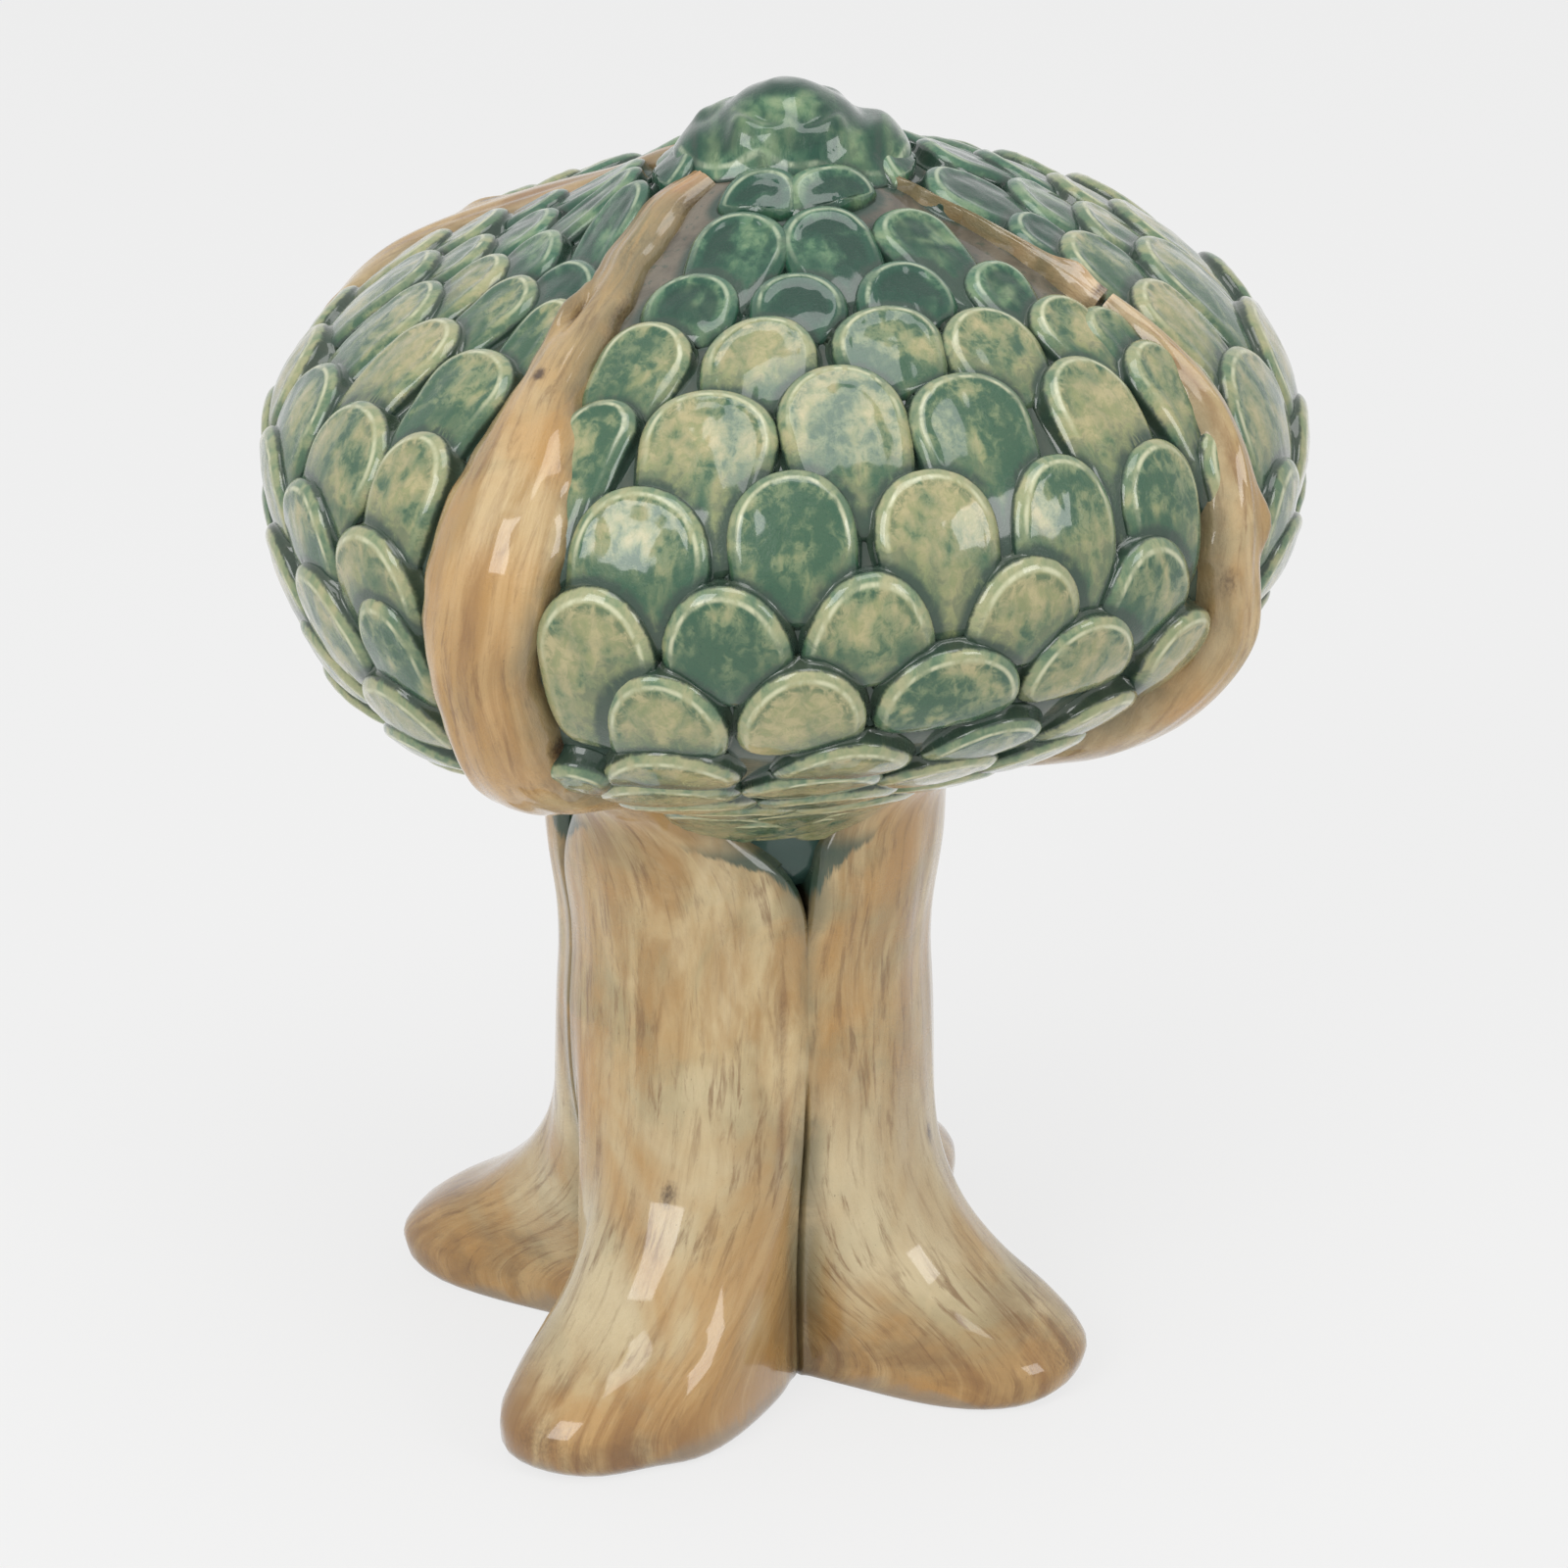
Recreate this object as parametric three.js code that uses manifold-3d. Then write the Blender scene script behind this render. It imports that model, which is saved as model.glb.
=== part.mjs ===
// Ceramic tree: a hollow crown of two shells, clad in overlapping leaf courses between four branches,
// carried on a trunk of four stems that spread into roots. Millimetres, +Z up, the ground at Z = 0.
import * as THREE from "three";
import { mergeVertices } from "three/addons/utils/BufferGeometryUtils.js";
import Module from "manifold-3d";

const wasm = await Module();
wasm.setup();

// Crown body, under the leaves
const widestHeight = 266;      // ground to the crown's widest level
const crownRadius = 133;       // at the widest level
const domeRise = 86.5;         // widest level to the top of the dome
const domeRadiusPower = 1.12;  // powers of the dome's superellipse profile
const domeRisePower = 1.93;
const bowlDrop = 101.5;        // widest level to the foot of the bowl's neck
const bowlPower = 2.4;
const neckRadius = 46;
const neckFillet = 30;         // how far the neck's curve spreads under the belly
const bowlBelly = bowlDrop - neckFillet; // drop of the bowl's superellipse, which the neck's curve cuts short
const domeLean = 0.115;        // how much higher the dome is on the +X side, as a share at the rim
const bowlLean = 0.116;        // how much shallower the bowl is on that side
const levelRadius = 60;        // the lean fades to nothing inside this, towards the top
const leanEnd = 0.42;          // shares of the bowl's drop where its lean starts to fade
const bendStart = 0.25;        // and where its neck starts to bend over to the trunk
const crownWall = 9;
const lipHeight = 6;           // lip of the bowl that stands inside the dome's rim
const lipThickness = 4;
const innerDepth = 62;         // widest level to the mouth of the bore
const innerFullness = 0.55;    // power of the bowl's inner profile
const crownSides = 30;         // flats round each shell
const outerSteps = 8;          // flats from the rim to the axis or the neck
const bellyShare = 0.625;      // of the bowl's flats, the rest make the neck's curve
const innerSteps = 5;

// Trunk: four stems round one bore, its axis set to one side of the crown's
const trunkOffset = -11;       // along X
const boreRadius = 26;         // through the bowl's spigot
const spigotRadius = 36;       // spigot of the bowl, seated in the stems
const spigotLength = 14;
const stemBore = 30;
const stemWall = 18;           // least wall over a lobe, where it leaves the bore
const stemLevels = 12;
const stemFlats = 6;           // on each half of a lobe
const boreFlats = 4;
const seamGap = 0.3;           // clearance at every seam between pieces

// Ridge and crease radii of a lobe, each as [height, radius]
const ridgeProfile = [[0, 100], [6, 102], [14, 102], [24, 94], [36, 79], [49, 67.5], [62, 60.5],
  [76, 56], [90, 53.5], [105, 52.5], [120, 52], [136, 53], [152, 55.5], [166, 58.5]];
const creaseProfile = [[0, 46], [30, 43], [52, 44], [80, 48], [105, 48], [125, 43], [140, 42], [166, 46]];
const slimRidge = 52;          // ridge radius where the lobe is slimmest
const rootSpread = 60;         // height up to which a limb's own rise scales its root
const rootTop = 110;           // height where the roots have faded into the stems
const nominalReach = 102;      // toe radius of the ridge profile
const quarter = 45;            // degrees from a stem's middle to its seams
const trunkLobePower = 2.6;    // roundness of a stem's section
const rootLobeHalf = 0.5;      // where across the quarter a root's section falls to half
const rootLobeSwell = 1.06;
const rootLobeFall = 0.06;
const levelCrowding = 1.25;    // crowds the levels towards the ground
const flatCrowding = 0.8;      // and the flats towards the seams

// Each stem with its branch: direction of the stem, reach of its toe and how high its root spreads,
// direction of the branch on the crown, its bend near the top, and its stoutness. Directions turn from
// the front to +X.
const limbs = [
  { name: "front", stem: -25, toe: 103, rise: 1.0, branch: -34, topBend: -9, stout: 1.0 },
  { name: "right", stem: 65, toe: 101, rise: 0.8, branch: 58, topBend: 10, stout: 0.72 },
  { name: "back", stem: 155, toe: 103, rise: 0.9, branch: 156, topBend: 12, stout: 0.9 },
  { name: "left", stem: -115, toe: 104, rise: 0.83, branch: -119, topBend: -12, stout: 0.85 },
];

// Half the angle that a branch takes round the crown, in degrees, and its height over the crown body,
// each as [place, value]. A place runs from 0 at the top of the crown through 1 at the widest level to 2
// at the foot of the neck.
const branchHalfAngles = [[0.1, 15], [0.17, 11.5], [0.25, 9.5], [0.41, 7.8], [0.61, 8.2], [0.78, 8], [0.9, 8.5],
  [1.05, 9.3], [1.2, 10.2], [1.35, 13.7], [1.5, 19.5], [1.62, 25.5], [1.75, 34], [1.84, 36], [1.93, 34.5],
  [2, 45]];
const branchHeight = [[0.1, 5], [0.41, 7], [0.63, 9.5], [0.8, 12], [1, 14.5], [1.2, 16], [1.4, 15],
  [1.62, 12], [1.82, 11], [2, 12]];
const branchTop = 0.17;        // place of a branch's tip
const branchStations = 13;
const branchFlats = 6;         // across
const branchArch = 0.65;       // power of the section, lower is squarer
const bendFade = 0.12;         // length over which the bend near the top fades
const neckTurn = [1, 1.75];    // places between which a branch turns to its stem's direction
const stoutEnd = [1.2, 1.5];   // and between which its own stoutness gives way to the neck's
const tipShare = [0.3, 0.5];   // width and height of the stout piece's pointed start, as shares
const branchSink = 3;          // depth below the crown body before the body trims it
const forkPlace = 0.6;         // where the split branch changes from its slim to its stout piece
const forkGap = 0.012;
const forkTaper = 0.14;        // length of the stout piece's pointed start

// Leaves: rows of pads with their tips up, each row lapping the one above it
const leafRows = [
  { tip: 0.15, leaves: 2 }, { tip: 0.22, leaves: 3 }, { tip: 0.365, leaves: 4 }, { tip: 0.46, leaves: 5 },
  { tip: 0.58, leaves: 5 }, { tip: 0.775, leaves: 5 }, { tip: 0.93, leaves: 5 }, { tip: 1.06, leaves: 5 },
  { tip: 1.205, leaves: 4 }, { tip: 1.32, leaves: 3 }, { tip: 1.45, leaves: 3 }, { tip: 1.58, leaves: 1 },
];
// Directions of the middles of the leaves in the panel between the front and right branches, row by row
const frontLeaves = [[-1, 36], [-13, 17, 40], [-20, 3, 29, 47], [-23, -4, 18, 35, 50], [-23, -10, 8, 26, 43],
  [-14, 1, 16, 33, 45], [-19, -6, 8, 26, 42], [-13, 2, 17, 34, 46], [-5, 11, 26, 39], [-4, 9, 26], [0, 13, 27],
  [18]];
const lastRowEnd = 1.84;       // place where the lowest row's cover ends
const rowLap = 0.55;           // part of the row spacing that runs on under the next row
const leafThickness = 3.2;     // at the tip
const leafBaseHeight = 2.4;    // top of a leaf's base over the body
const leafSeat = 1.6;          // underside of a leaf's base over the body, at its corners
const firstRowLift = 7.5;      // the first row's tips stand this high, round the cap leaf
const rowGap = 0.93;           // between two rows where they lap
const branchClearance = 0.8;   // from the end of a row to the branch
const leafCrown = 1.3;         // swell of a pad's middle
const notchDepth = 0.78;       // part of the row spacing that the notch between two leaves runs down
const tipFlats = 8;            // round each tip
const tipWidth = 0.99;         // of a tip's share of the course
const tipRound = 0.9;          // power of the tip's arc
const padCentre = 0.45;        // place of a pad's highest point, as a share of the row spacing
const lowestShare = 0.8;       // a pad's low point stays within this share of its length
const narrowLeaf = 0.66;       // width share of the narrow leaf at alternate ends
const widthWander = 0.09;      // hand-made unevenness of the widths and of the tips
const tipWander = 0.09;

// Cap leaf on the very top, a low dome whose rim the tips of the first row stand round
const capRadius = 21;
const capTop = 13;             // over the top of the crown body
const capDome = 11.5;          // from its rim to its top
const capSides = 20;
const capSteps = 5;

const glazes = {
  clay: { color: 0x8f8266, roughness: 0.45 },
  bark: { color: 0xb8986a, roughness: 0.3 },
  branch: { color: 0xb5834c, roughness: 0.28 },
  leaf: { color: 0x8fae8a, roughness: 0.22 },
  darkLeaf: { color: 0x3f7a62, roughness: 0.22 },
};

const neckFoot = widestHeight - bowlDrop;
const stemTop = neckFoot - seamGap;

const radians = THREE.MathUtils.degToRad;
const lerp = THREE.MathUtils.lerp;
const clamp = THREE.MathUtils.clamp;
const smoothstep = THREE.MathUtils.smoothstep;

// A smooth value at x from a list of [x, value] pairs, level beyond its ends
function along(list, x) {
  let k = 0;
  while (k < list.length - 2 && x > list[k + 1][0]) k += 1;
  const before = list[Math.max(k - 1, 0)];
  const [x1, y1] = list[k];
  const [x2, y2] = list[k + 1];
  const after = list[Math.min(k + 2, list.length - 1)];
  const t = clamp((x - x1) / (x2 - x1), 0, 1);
  const slope1 = (y2 - before[1]) / (x2 - before[0]) * (x2 - x1);
  const slope2 = (after[1] - y1) / (after[0] - x1) * (x2 - x1);
  const t2 = t * t;
  const t3 = t2 * t;
  const level = (2 * t3 - 3 * t2 + 1) * y1 + (3 * t2 - 2 * t3) * y2;
  return level + (t3 - 2 * t2 + t) * slope1 + (t3 - t2) * slope2;
}

// A repeatable unevenness from -1 to 1
function wander(a, b) {
  return Math.sin(a * 12.99 + b * 78.23 + 1.7);
}

// Points of the dome's outline from its top to the rim, and of the bowl's from the rim to the neck, as
// radius and height over the widest level. The inset is the shell's wall where it is wanted.
function domeOutline(steps, inset = 0) {
  const points = [];
  for (let k = 0; k <= steps; k += 1) {
    const angle = Math.PI / 2 * k / steps;
    const r = (crownRadius - inset) * Math.sin(angle) ** (2 / domeRadiusPower);
    points.push(new THREE.Vector2(r, (domeRise - inset) * Math.cos(angle) ** (2 / domeRisePower)));
  }
  points[steps].y = 0;
  return points;
}

function bowlOutline(steps) {
  const bellySteps = Math.round(bellyShare * steps);
  const spread = crownRadius - neckRadius;
  const lastAngle = Math.acos((neckFillet / spread) ** (bowlPower / 2));
  const points = [];
  for (let k = 0; k <= bellySteps; k += 1) {
    const angle = lastAngle * k / bellySteps;
    const r = neckRadius + spread * Math.cos(angle) ** (2 / bowlPower);
    points.push(new THREE.Vector2(r, -bowlBelly * Math.sin(angle) ** (2 / bowlPower)));
  }
  const filletTop = points[bellySteps].y;
  for (let k = 1; k <= steps - bellySteps; k += 1) {
    const angle = Math.PI / 2 * k / (steps - bellySteps);
    const z = -bowlDrop + (bowlDrop + filletTop) * Math.cos(angle);
    points.push(new THREE.Vector2(neckRadius + neckFillet * (1 - Math.sin(angle)), z));
  }
  return points;
}

// Both outlines with the length run along them
const outlines = [domeOutline(400), bowlOutline(400)].map((points) => {
  const lengths = [0];
  for (let k = 1; k < points.length; k += 1) {
    lengths.push(lengths[k - 1] + points[k].distanceTo(points[k - 1]));
  }
  return { points, lengths, total: lengths[lengths.length - 1] };
});

// Radius, height and outward normal of the crown body at a place
function bodyAt(place) {
  const half = outlines[place <= 1 ? 0 : 1];
  const wanted = clamp(place <= 1 ? place : place - 1, 0, 1) * half.total;
  let k = 1;
  while (k < half.lengths.length - 1 && half.lengths[k] < wanted) k += 1;
  const a = half.points[k - 1];
  const b = half.points[k];
  const point = a.clone().lerp(b, (wanted - half.lengths[k - 1]) / (half.lengths[k] - half.lengths[k - 1]));
  const run = b.clone().sub(a).normalize();
  return { r: point.x, z: point.y, nr: -run.y, nz: run.x };
}

// The true crown from the round one: it leans, and its neck bends over to the trunk's axis
function settle(point) {
  const depth = widestHeight - point.z;
  const toNeck = smoothstep(depth, leanEnd * bowlDrop, bowlDrop);
  const fromAxis = smoothstep(Math.hypot(point.x, point.y), 0, levelRadius);
  const lean = depth < 0 ? domeLean * fromAxis : -bowlLean * (1 - toNeck);
  point.z = widestHeight - depth * (1 + lean * point.x / crownRadius);
  point.x += trunkOffset * smoothstep(depth, bendStart * bowlDrop, bowlDrop);
  return point;
}

// A point over the crown body: place down the profile, direction in radians, height along the normal
function crownPoint(place, direction, height) {
  const body = bodyAt(place);
  const r = body.r + height * body.nr;
  const z = widestHeight + body.z + height * body.nz;
  return settle(new THREE.Vector3(r * Math.sin(direction), -r * Math.cos(direction), z));
}

// A closed body from vertices and triangles, turned to face out
function solidGeometry(points, triangles) {
  let volume = 0;
  for (const [a, b, c] of triangles) {
    volume += points[a].dot(points[b].clone().cross(points[c]));
  }
  const order = volume < 0 ? triangles.map(([a, b, c]) => [a, c, b]) : triangles;
  const geometry = new THREE.BufferGeometry();
  const places = points.flatMap((p) => [p.x, p.y, p.z]);
  geometry.setAttribute("position", new THREE.Float32BufferAttribute(places, 3));
  geometry.setIndex(order.flat());
  return geometry;
}

// A loft through rings of equal count, closed by a flat face at each end
function loft(rings) {
  const count = rings[0].length;
  const triangles = [];
  for (let k = 0; k < rings.length - 1; k += 1) {
    for (let j = 0; j < count; j += 1) {
      const a = k * count + j;
      const b = k * count + (j + 1) % count;
      triangles.push([a, b, b + count], [a, b + count, a + count]);
    }
  }
  return { points: rings.flat(), triangles, count };
}

// A turned body, leaned and bent with the crown
function latheBody(profile, sides = crownSides) {
  const lathe = new THREE.LatheGeometry(profile, sides);
  lathe.rotateX(Math.PI / 2);
  const merged = welded(lathe);
  const place = merged.getAttribute("position");
  const points = [];
  for (let k = 0; k < place.count; k += 1) {
    points.push(settle(new THREE.Vector3().fromBufferAttribute(place, k)));
  }
  const index = merged.getIndex().array;
  const triangles = [];
  for (let k = 0; k < index.length; k += 3) {
    const corners = [index[k], index[k + 1], index[k + 2]];
    if (new Set(corners).size === 3) triangles.push(corners);
  }
  return solidGeometry(points, triangles);
}

function welded(geometry) {
  geometry.deleteAttribute("normal");
  geometry.deleteAttribute("uv");
  return mergeVertices(geometry, 1e-4);
}

function toSolid(geometry) {
  return new wasm.Manifold(new wasm.Mesh({
    numProp: 3,
    vertProperties: new Float32Array(geometry.getAttribute("position").array),
    triVerts: new Uint32Array(geometry.getIndex().array),
  }));
}

function toGeometry(solid) {
  const mesh = solid.getMesh();
  const geometry = new THREE.BufferGeometry();
  geometry.setAttribute("position", new THREE.BufferAttribute(new Float32Array(mesh.vertProperties), 3));
  geometry.setIndex(new THREE.BufferAttribute(new Uint32Array(mesh.triVerts), 1));
  return geometry;
}

// Shells of the crown

function lifted(points) {
  return points.map((point) => new THREE.Vector2(point.x, widestHeight + point.y));
}

function domeGeometry() {
  const lipRadius = crownRadius - crownWall + lipThickness + seamGap;
  const inner = lifted(domeOutline(innerSteps, crownWall));
  inner[innerSteps].y += lipHeight + seamGap;
  const outer = lifted(domeOutline(outerSteps).reverse());
  outer[0].y += seamGap;
  const rim = [
    new THREE.Vector2(lipRadius, widestHeight + lipHeight + seamGap),
    new THREE.Vector2(lipRadius, widestHeight + seamGap),
  ];
  return latheBody([...inner, ...rim, ...outer]);
}

function bowlGeometry() {
  const lipRadius = crownRadius - crownWall + lipThickness;
  const outer = lifted(bowlOutline(outerSteps));
  const inner = [];
  for (let k = 0; k <= innerSteps; k += 1) {
    const angle = Math.PI / 2 * k / innerSteps;
    const r = boreRadius + (crownRadius - crownWall - boreRadius) * Math.sin(angle);
    inner.push(new THREE.Vector2(r, widestHeight - innerDepth * Math.cos(angle) ** innerFullness));
  }
  const profile = [
    new THREE.Vector2(crownRadius - crownWall, widestHeight + lipHeight),
    new THREE.Vector2(lipRadius, widestHeight + lipHeight),
    new THREE.Vector2(lipRadius, widestHeight),
    ...outer,
    new THREE.Vector2(spigotRadius, neckFoot),
    new THREE.Vector2(spigotRadius, neckFoot - spigotLength),
    new THREE.Vector2(boreRadius, neckFoot - spigotLength),
    ...inner,
  ];
  return latheBody([...profile, profile[0].clone()]);
}

// The crown body grown by the seam gap, as the cutter for what is luted to it
function crownEnvelope() {
  const half = (points, growBelow) => points.map((point, k) => {
    const before = points[Math.max(k - 1, 0)];
    const after = points[Math.min(k + 1, points.length - 1)];
    const run = after.clone().sub(before).normalize();
    const grown = new THREE.Vector2(point.x - run.y * seamGap, point.y + run.x * seamGap);
    if (point.x === 0) grown.x = 0;
    if (growBelow) grown.y = Math.min(grown.y, 0);
    return grown;
  });
  const upper = half(domeOutline(outerSteps), false);
  const lower = half(bowlOutline(outerSteps), true);
  const foot = new THREE.Vector2(0, -bowlDrop - spigotLength);
  const side = new THREE.Vector2(lower[outerSteps].x, foot.y);
  return toSolid(latheBody(lifted([...upper.slice(0, -1), ...lower, side, foot])));
}

// Limbs

// The direction of a branch's middle at a place, straight on the crown and bent at both ends
function branchDirection(limb, place) {
  const bend = limb.topBend * Math.exp(-(place - branchTop) / bendFade);
  return radians(lerp(limb.branch + bend, limb.stem, smoothstep(place, ...neckTurn)));
}

function branchHalfAngle(limb, place) {
  const half = along(branchHalfAngles, place) * lerp(limb.stout, 1, smoothstep(place, ...stoutEnd));
  return Math.min(radians(half), radians(quarter) - seamGap / bodyAt(place).r);
}

// One piece of a branch from place to place. Its section is a low arch on the crown body.
function branchPiece(limb, from, to, pointed) {
  const rings = [];
  for (let k = 0; k <= branchStations; k += 1) {
    const place = lerp(from, to, k / branchStations);
    const grown = pointed ? smoothstep(place, from, from + forkTaper) : 1;
    const half = branchHalfAngle(limb, place) * lerp(tipShare[0], 1, grown);
    const height = along(branchHeight, place) * (limb.stout + 1) / 2 * lerp(tipShare[1], 1, grown);
    const middle = branchDirection(limb, place);
    const ring = [];
    for (let j = 0; j < branchFlats; j += 1) {
      const turn = Math.PI * j / branchFlats;
      const lift = Math.sin(turn) ** branchArch * (height + branchSink);
      ring.push(crownPoint(place, middle - half * Math.cos(turn), lift - branchSink));
    }
    for (let j = 0; j < branchFlats; j += 1) {
      ring.push(crownPoint(place, middle + half * (1 - 2 * j / branchFlats), -branchSink));
    }
    rings.push(ring);
  }
  const { points, triangles, count } = loft(rings);
  for (const [start, turn] of [[0, 1], [points.length - count, -1]]) {
    for (let j = 0; j < branchFlats; j += 1) {
      const a = start + j;
      const b = start + j + 1;
      const c = start + (count - j) % count;
      const d = start + count - j - 1;
      if (c !== a) triangles.push(turn > 0 ? [a, c, b] : [a, b, c]);
      if (d !== b) triangles.push(turn > 0 ? [b, c, d] : [b, d, c]);
    }
  }
  return toSolid(solidGeometry(points, triangles));
}

// Stems

function lobeShape(t, rootShare) {
  const across = Math.abs(t);
  const trunkLobe = Math.sqrt(1 - across ** trunkLobePower);
  const rootLobe = rootLobeSwell / (1 + (across / rootLobeHalf) ** 4) - rootLobeFall * across;
  return lerp(trunkLobe, Math.max(rootLobe, 0), rootShare);
}

function stemRadius(limb, t, height) {
  const rise = lerp(limb.rise, 1, smoothstep(height, rootSpread, rootTop));
  const ridge = along(ridgeProfile, height / rise);
  const flare = height < rootTop ? clamp((ridge - slimRidge) / (nominalReach - slimRidge), 0, 1) : 0;
  const reach = ridge + (limb.toe - nominalReach) * flare;
  const crease = along(creaseProfile, height);
  return crease + (reach - crease) * lobeShape(t, Math.sqrt(flare));
}

function stemRing(limb, height) {
  const ring = [];
  const at = (t, radius) => {
    const direction = radians(limb.stem + quarter * t);
    const side = Math.abs(t) === 1 ? -t * seamGap / 2 : 0;
    const x = trunkOffset + radius * Math.sin(direction) + side * Math.cos(direction);
    const y = -radius * Math.cos(direction) + side * Math.sin(direction);
    return new THREE.Vector3(x, y, height);
  };
  for (let j = -stemFlats; j <= stemFlats; j += 1) {
    const t = Math.sign(j) * (Math.abs(j) / stemFlats) ** flatCrowding;
    ring.push(at(t, stemRadius(limb, t, height)));
  }
  for (let j = 0; j <= boreFlats; j += 1) {
    const t = 1 - 2 * j / boreFlats;
    ring.push(at(t, Math.max(stemBore, stemRadius(limb, t, height) - stemWall)));
  }
  return ring;
}

function stemSolid(limb) {
  const rings = [];
  for (let k = 0; k <= stemLevels; k += 1) {
    rings.push(stemRing(limb, stemTop * (k / stemLevels) ** levelCrowding));
  }
  const { points, triangles, count } = loft(rings);
  const endFaces = (ring) => {
    return THREE.ShapeUtils.triangulateShape(ring.map((p) => new THREE.Vector2(p.x, p.y)), []);
  };
  for (const [a, b, c] of endFaces(rings[0])) {
    triangles.push([a, c, b]);
  }
  const last = points.length - count;
  for (const [a, b, c] of endFaces(rings[stemLevels])) {
    triangles.push([last + a, last + b, last + c]);
  }
  const socketRadius = spigotRadius + seamGap;
  const socketLength = 2 * (spigotLength + seamGap);
  const socket = new THREE.CylinderGeometry(socketRadius, socketRadius, socketLength, crownSides);
  socket.rotateX(Math.PI / 2);
  socket.translate(trunkOffset, 0, stemTop);
  return toSolid(solidGeometry(points, triangles)).subtract(toSolid(welded(socket)));
}

// Leaf courses

// Heights of each row over the body at its tip, worked out from the row above
const rowHeights = [];
leafRows.forEach((row, k) => {
  const next = k + 1 < leafRows.length ? leafRows[k + 1].tip : lastRowEnd;
  const end = k + 1 < leafRows.length ? next + rowLap * (next - row.tip) : lastRowEnd;
  const above = rowHeights[k - 1];
  const covered = above ? (row.tip - above.start) / (above.end - above.start) : 1;
  const below = above ? lerp(above.top, leafBaseHeight, covered) : firstRowLift;
  const under = below + rowGap;
  rowHeights.push({ start: row.tip, end, next, under, top: under + leafThickness });
});

// The angles of a panel's two edges at a place
function panelEdges(panel, place) {
  const first = limbs[panel];
  const second = limbs[(panel + 1) % limbs.length];
  const clear = branchClearance / bodyAt(place).r;
  const low = branchDirection(first, place) + branchHalfAngle(first, place) + clear;
  const turn = branchDirection(second, place) < branchDirection(first, place) ? 2 * Math.PI : 0;
  const high = branchDirection(second, place) + turn - branchHalfAngle(second, place) - clear;
  return [low, high];
}

// Shares of a course's length that its leaves take
function leafWidths(row, panel) {
  const count = leafRows[row].leaves;
  const shares = [];
  if (panel === 0) {
    const [low, high] = panelEdges(panel, leafRows[row].tip);
    const middles = frontLeaves[row].map(radians);
    for (let k = 0; k < count; k += 1) {
      const start = k === 0 ? low : (middles[k - 1] + middles[k]) / 2;
      const end = k === count - 1 ? high : (middles[k] + middles[k + 1]) / 2;
      shares.push((end - start) / (high - low));
    }
    return shares;
  }
  for (let k = 0; k < count; k += 1) {
    const atNarrowEnd = row % 2 === 0 ? k === 0 : k === count - 1;
    const share = count > 3 && atNarrowEnd ? narrowLeaf : 1;
    shares.push(share * (1 + widthWander * wander(k + panel * 7, row)));
  }
  const total = shares.reduce((sum, share) => sum + share, 0);
  return shares.map((share) => share / total);
}

function courseGeometry(panel, row) {
  const heights = rowHeights[row];
  const points = [];
  const triangles = [];
  const add = (across, place, height) => {
    const [low, high] = panelEdges(panel, place);
    points.push(crownPoint(place, lerp(low, high, across), height));
    return points.length - 1;
  };
  const both = (across, down, lift = 0) => {
    const place = lerp(heights.start, heights.next, down);
    const share = (place - heights.start) / (heights.end - heights.start);
    return {
      top: add(across, place, lerp(heights.top, leafBaseHeight, share) + lift),
      under: add(across, place, lerp(heights.under, leafSeat, share)),
    };
  };
  const endDown = (heights.end - heights.start) / (heights.next - heights.start);
  const widths = leafWidths(row, panel);
  let across = 0;
  let notch = both(0, notchDepth);
  let base = both(0, endDown);
  const skin = (a, b) => triangles.push([a.under, b.under, b.top], [a.under, b.top, a.top]);
  skin(base, notch);
  widths.forEach((width, k) => {
    const middle = across + width / 2;
    const lead = tipWander * wander(k * 3 + panel, row + 5);
    const outline = [notch];
    for (let j = 1; j < tipFlats; j += 1) {
      const turn = Math.PI * j / tipFlats;
      const down = lead + (notchDepth - lead) * (1 - Math.sin(turn) ** tipRound);
      outline.push(both(middle - tipWidth * width / 2 * Math.cos(turn), down));
    }
    const nextAcross = across + width;
    const nextNotch = both(nextAcross, notchDepth);
    const nextBase = both(nextAcross, endDown);
    outline.push(nextNotch);
    const centre = both(middle, padCentre, leafCrown);
    const low = both(middle, Math.min(1, lowestShare * endDown));
    for (let j = 0; j < outline.length - 1; j += 1) {
      const a = outline[j];
      const b = outline[j + 1];
      skin(a, b);
      triangles.push([a.top, b.top, centre.top], [b.under, a.under, low.under]);
    }
    triangles.push([centre.top, nextNotch.top, low.top], [centre.top, low.top, notch.top]);
    for (const [a, b] of [[nextNotch, nextBase], [nextBase, base], [base, notch]]) {
      triangles.push([a.top, b.top, low.top], [b.under, a.under, low.under]);
    }
    skin(nextBase, base);
    notch = nextNotch;
    base = nextBase;
    across = nextAcross;
  });
  skin(notch, base);
  return solidGeometry(points, triangles);
}

function capGeometry() {
  const profile = lifted(domeOutline(outerSteps).filter((point) => point.x < capRadius));
  for (const point of profile) point.y += seamGap;
  const rimBody = domeRise * (1 - (capRadius / crownRadius) ** domeRadiusPower) ** (1 / domeRisePower);
  profile.push(new THREE.Vector2(capRadius, widestHeight + rimBody + seamGap));
  for (let k = 0; k <= capSteps; k += 1) {
    const angle = Math.PI / 2 * k / capSteps;
    const z = widestHeight + domeRise + capTop - capDome * (1 - Math.sin(angle));
    profile.push(new THREE.Vector2(capRadius * Math.cos(angle), z));
  }
  profile[profile.length - 1].x = 0;
  return latheBody(profile, capSides);
}

// Assembly

const group = new THREE.Group();

function addPiece(name, geometry, glaze) {
  const mesh = new THREE.Mesh(geometry, new THREE.MeshStandardMaterial({ ...glaze, metalness: 0 }));
  mesh.name = name;
  group.add(mesh);
}

addPiece("crown_dome", domeGeometry(), glazes.clay);
addPiece("crown_bowl", bowlGeometry(), glazes.clay);

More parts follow.
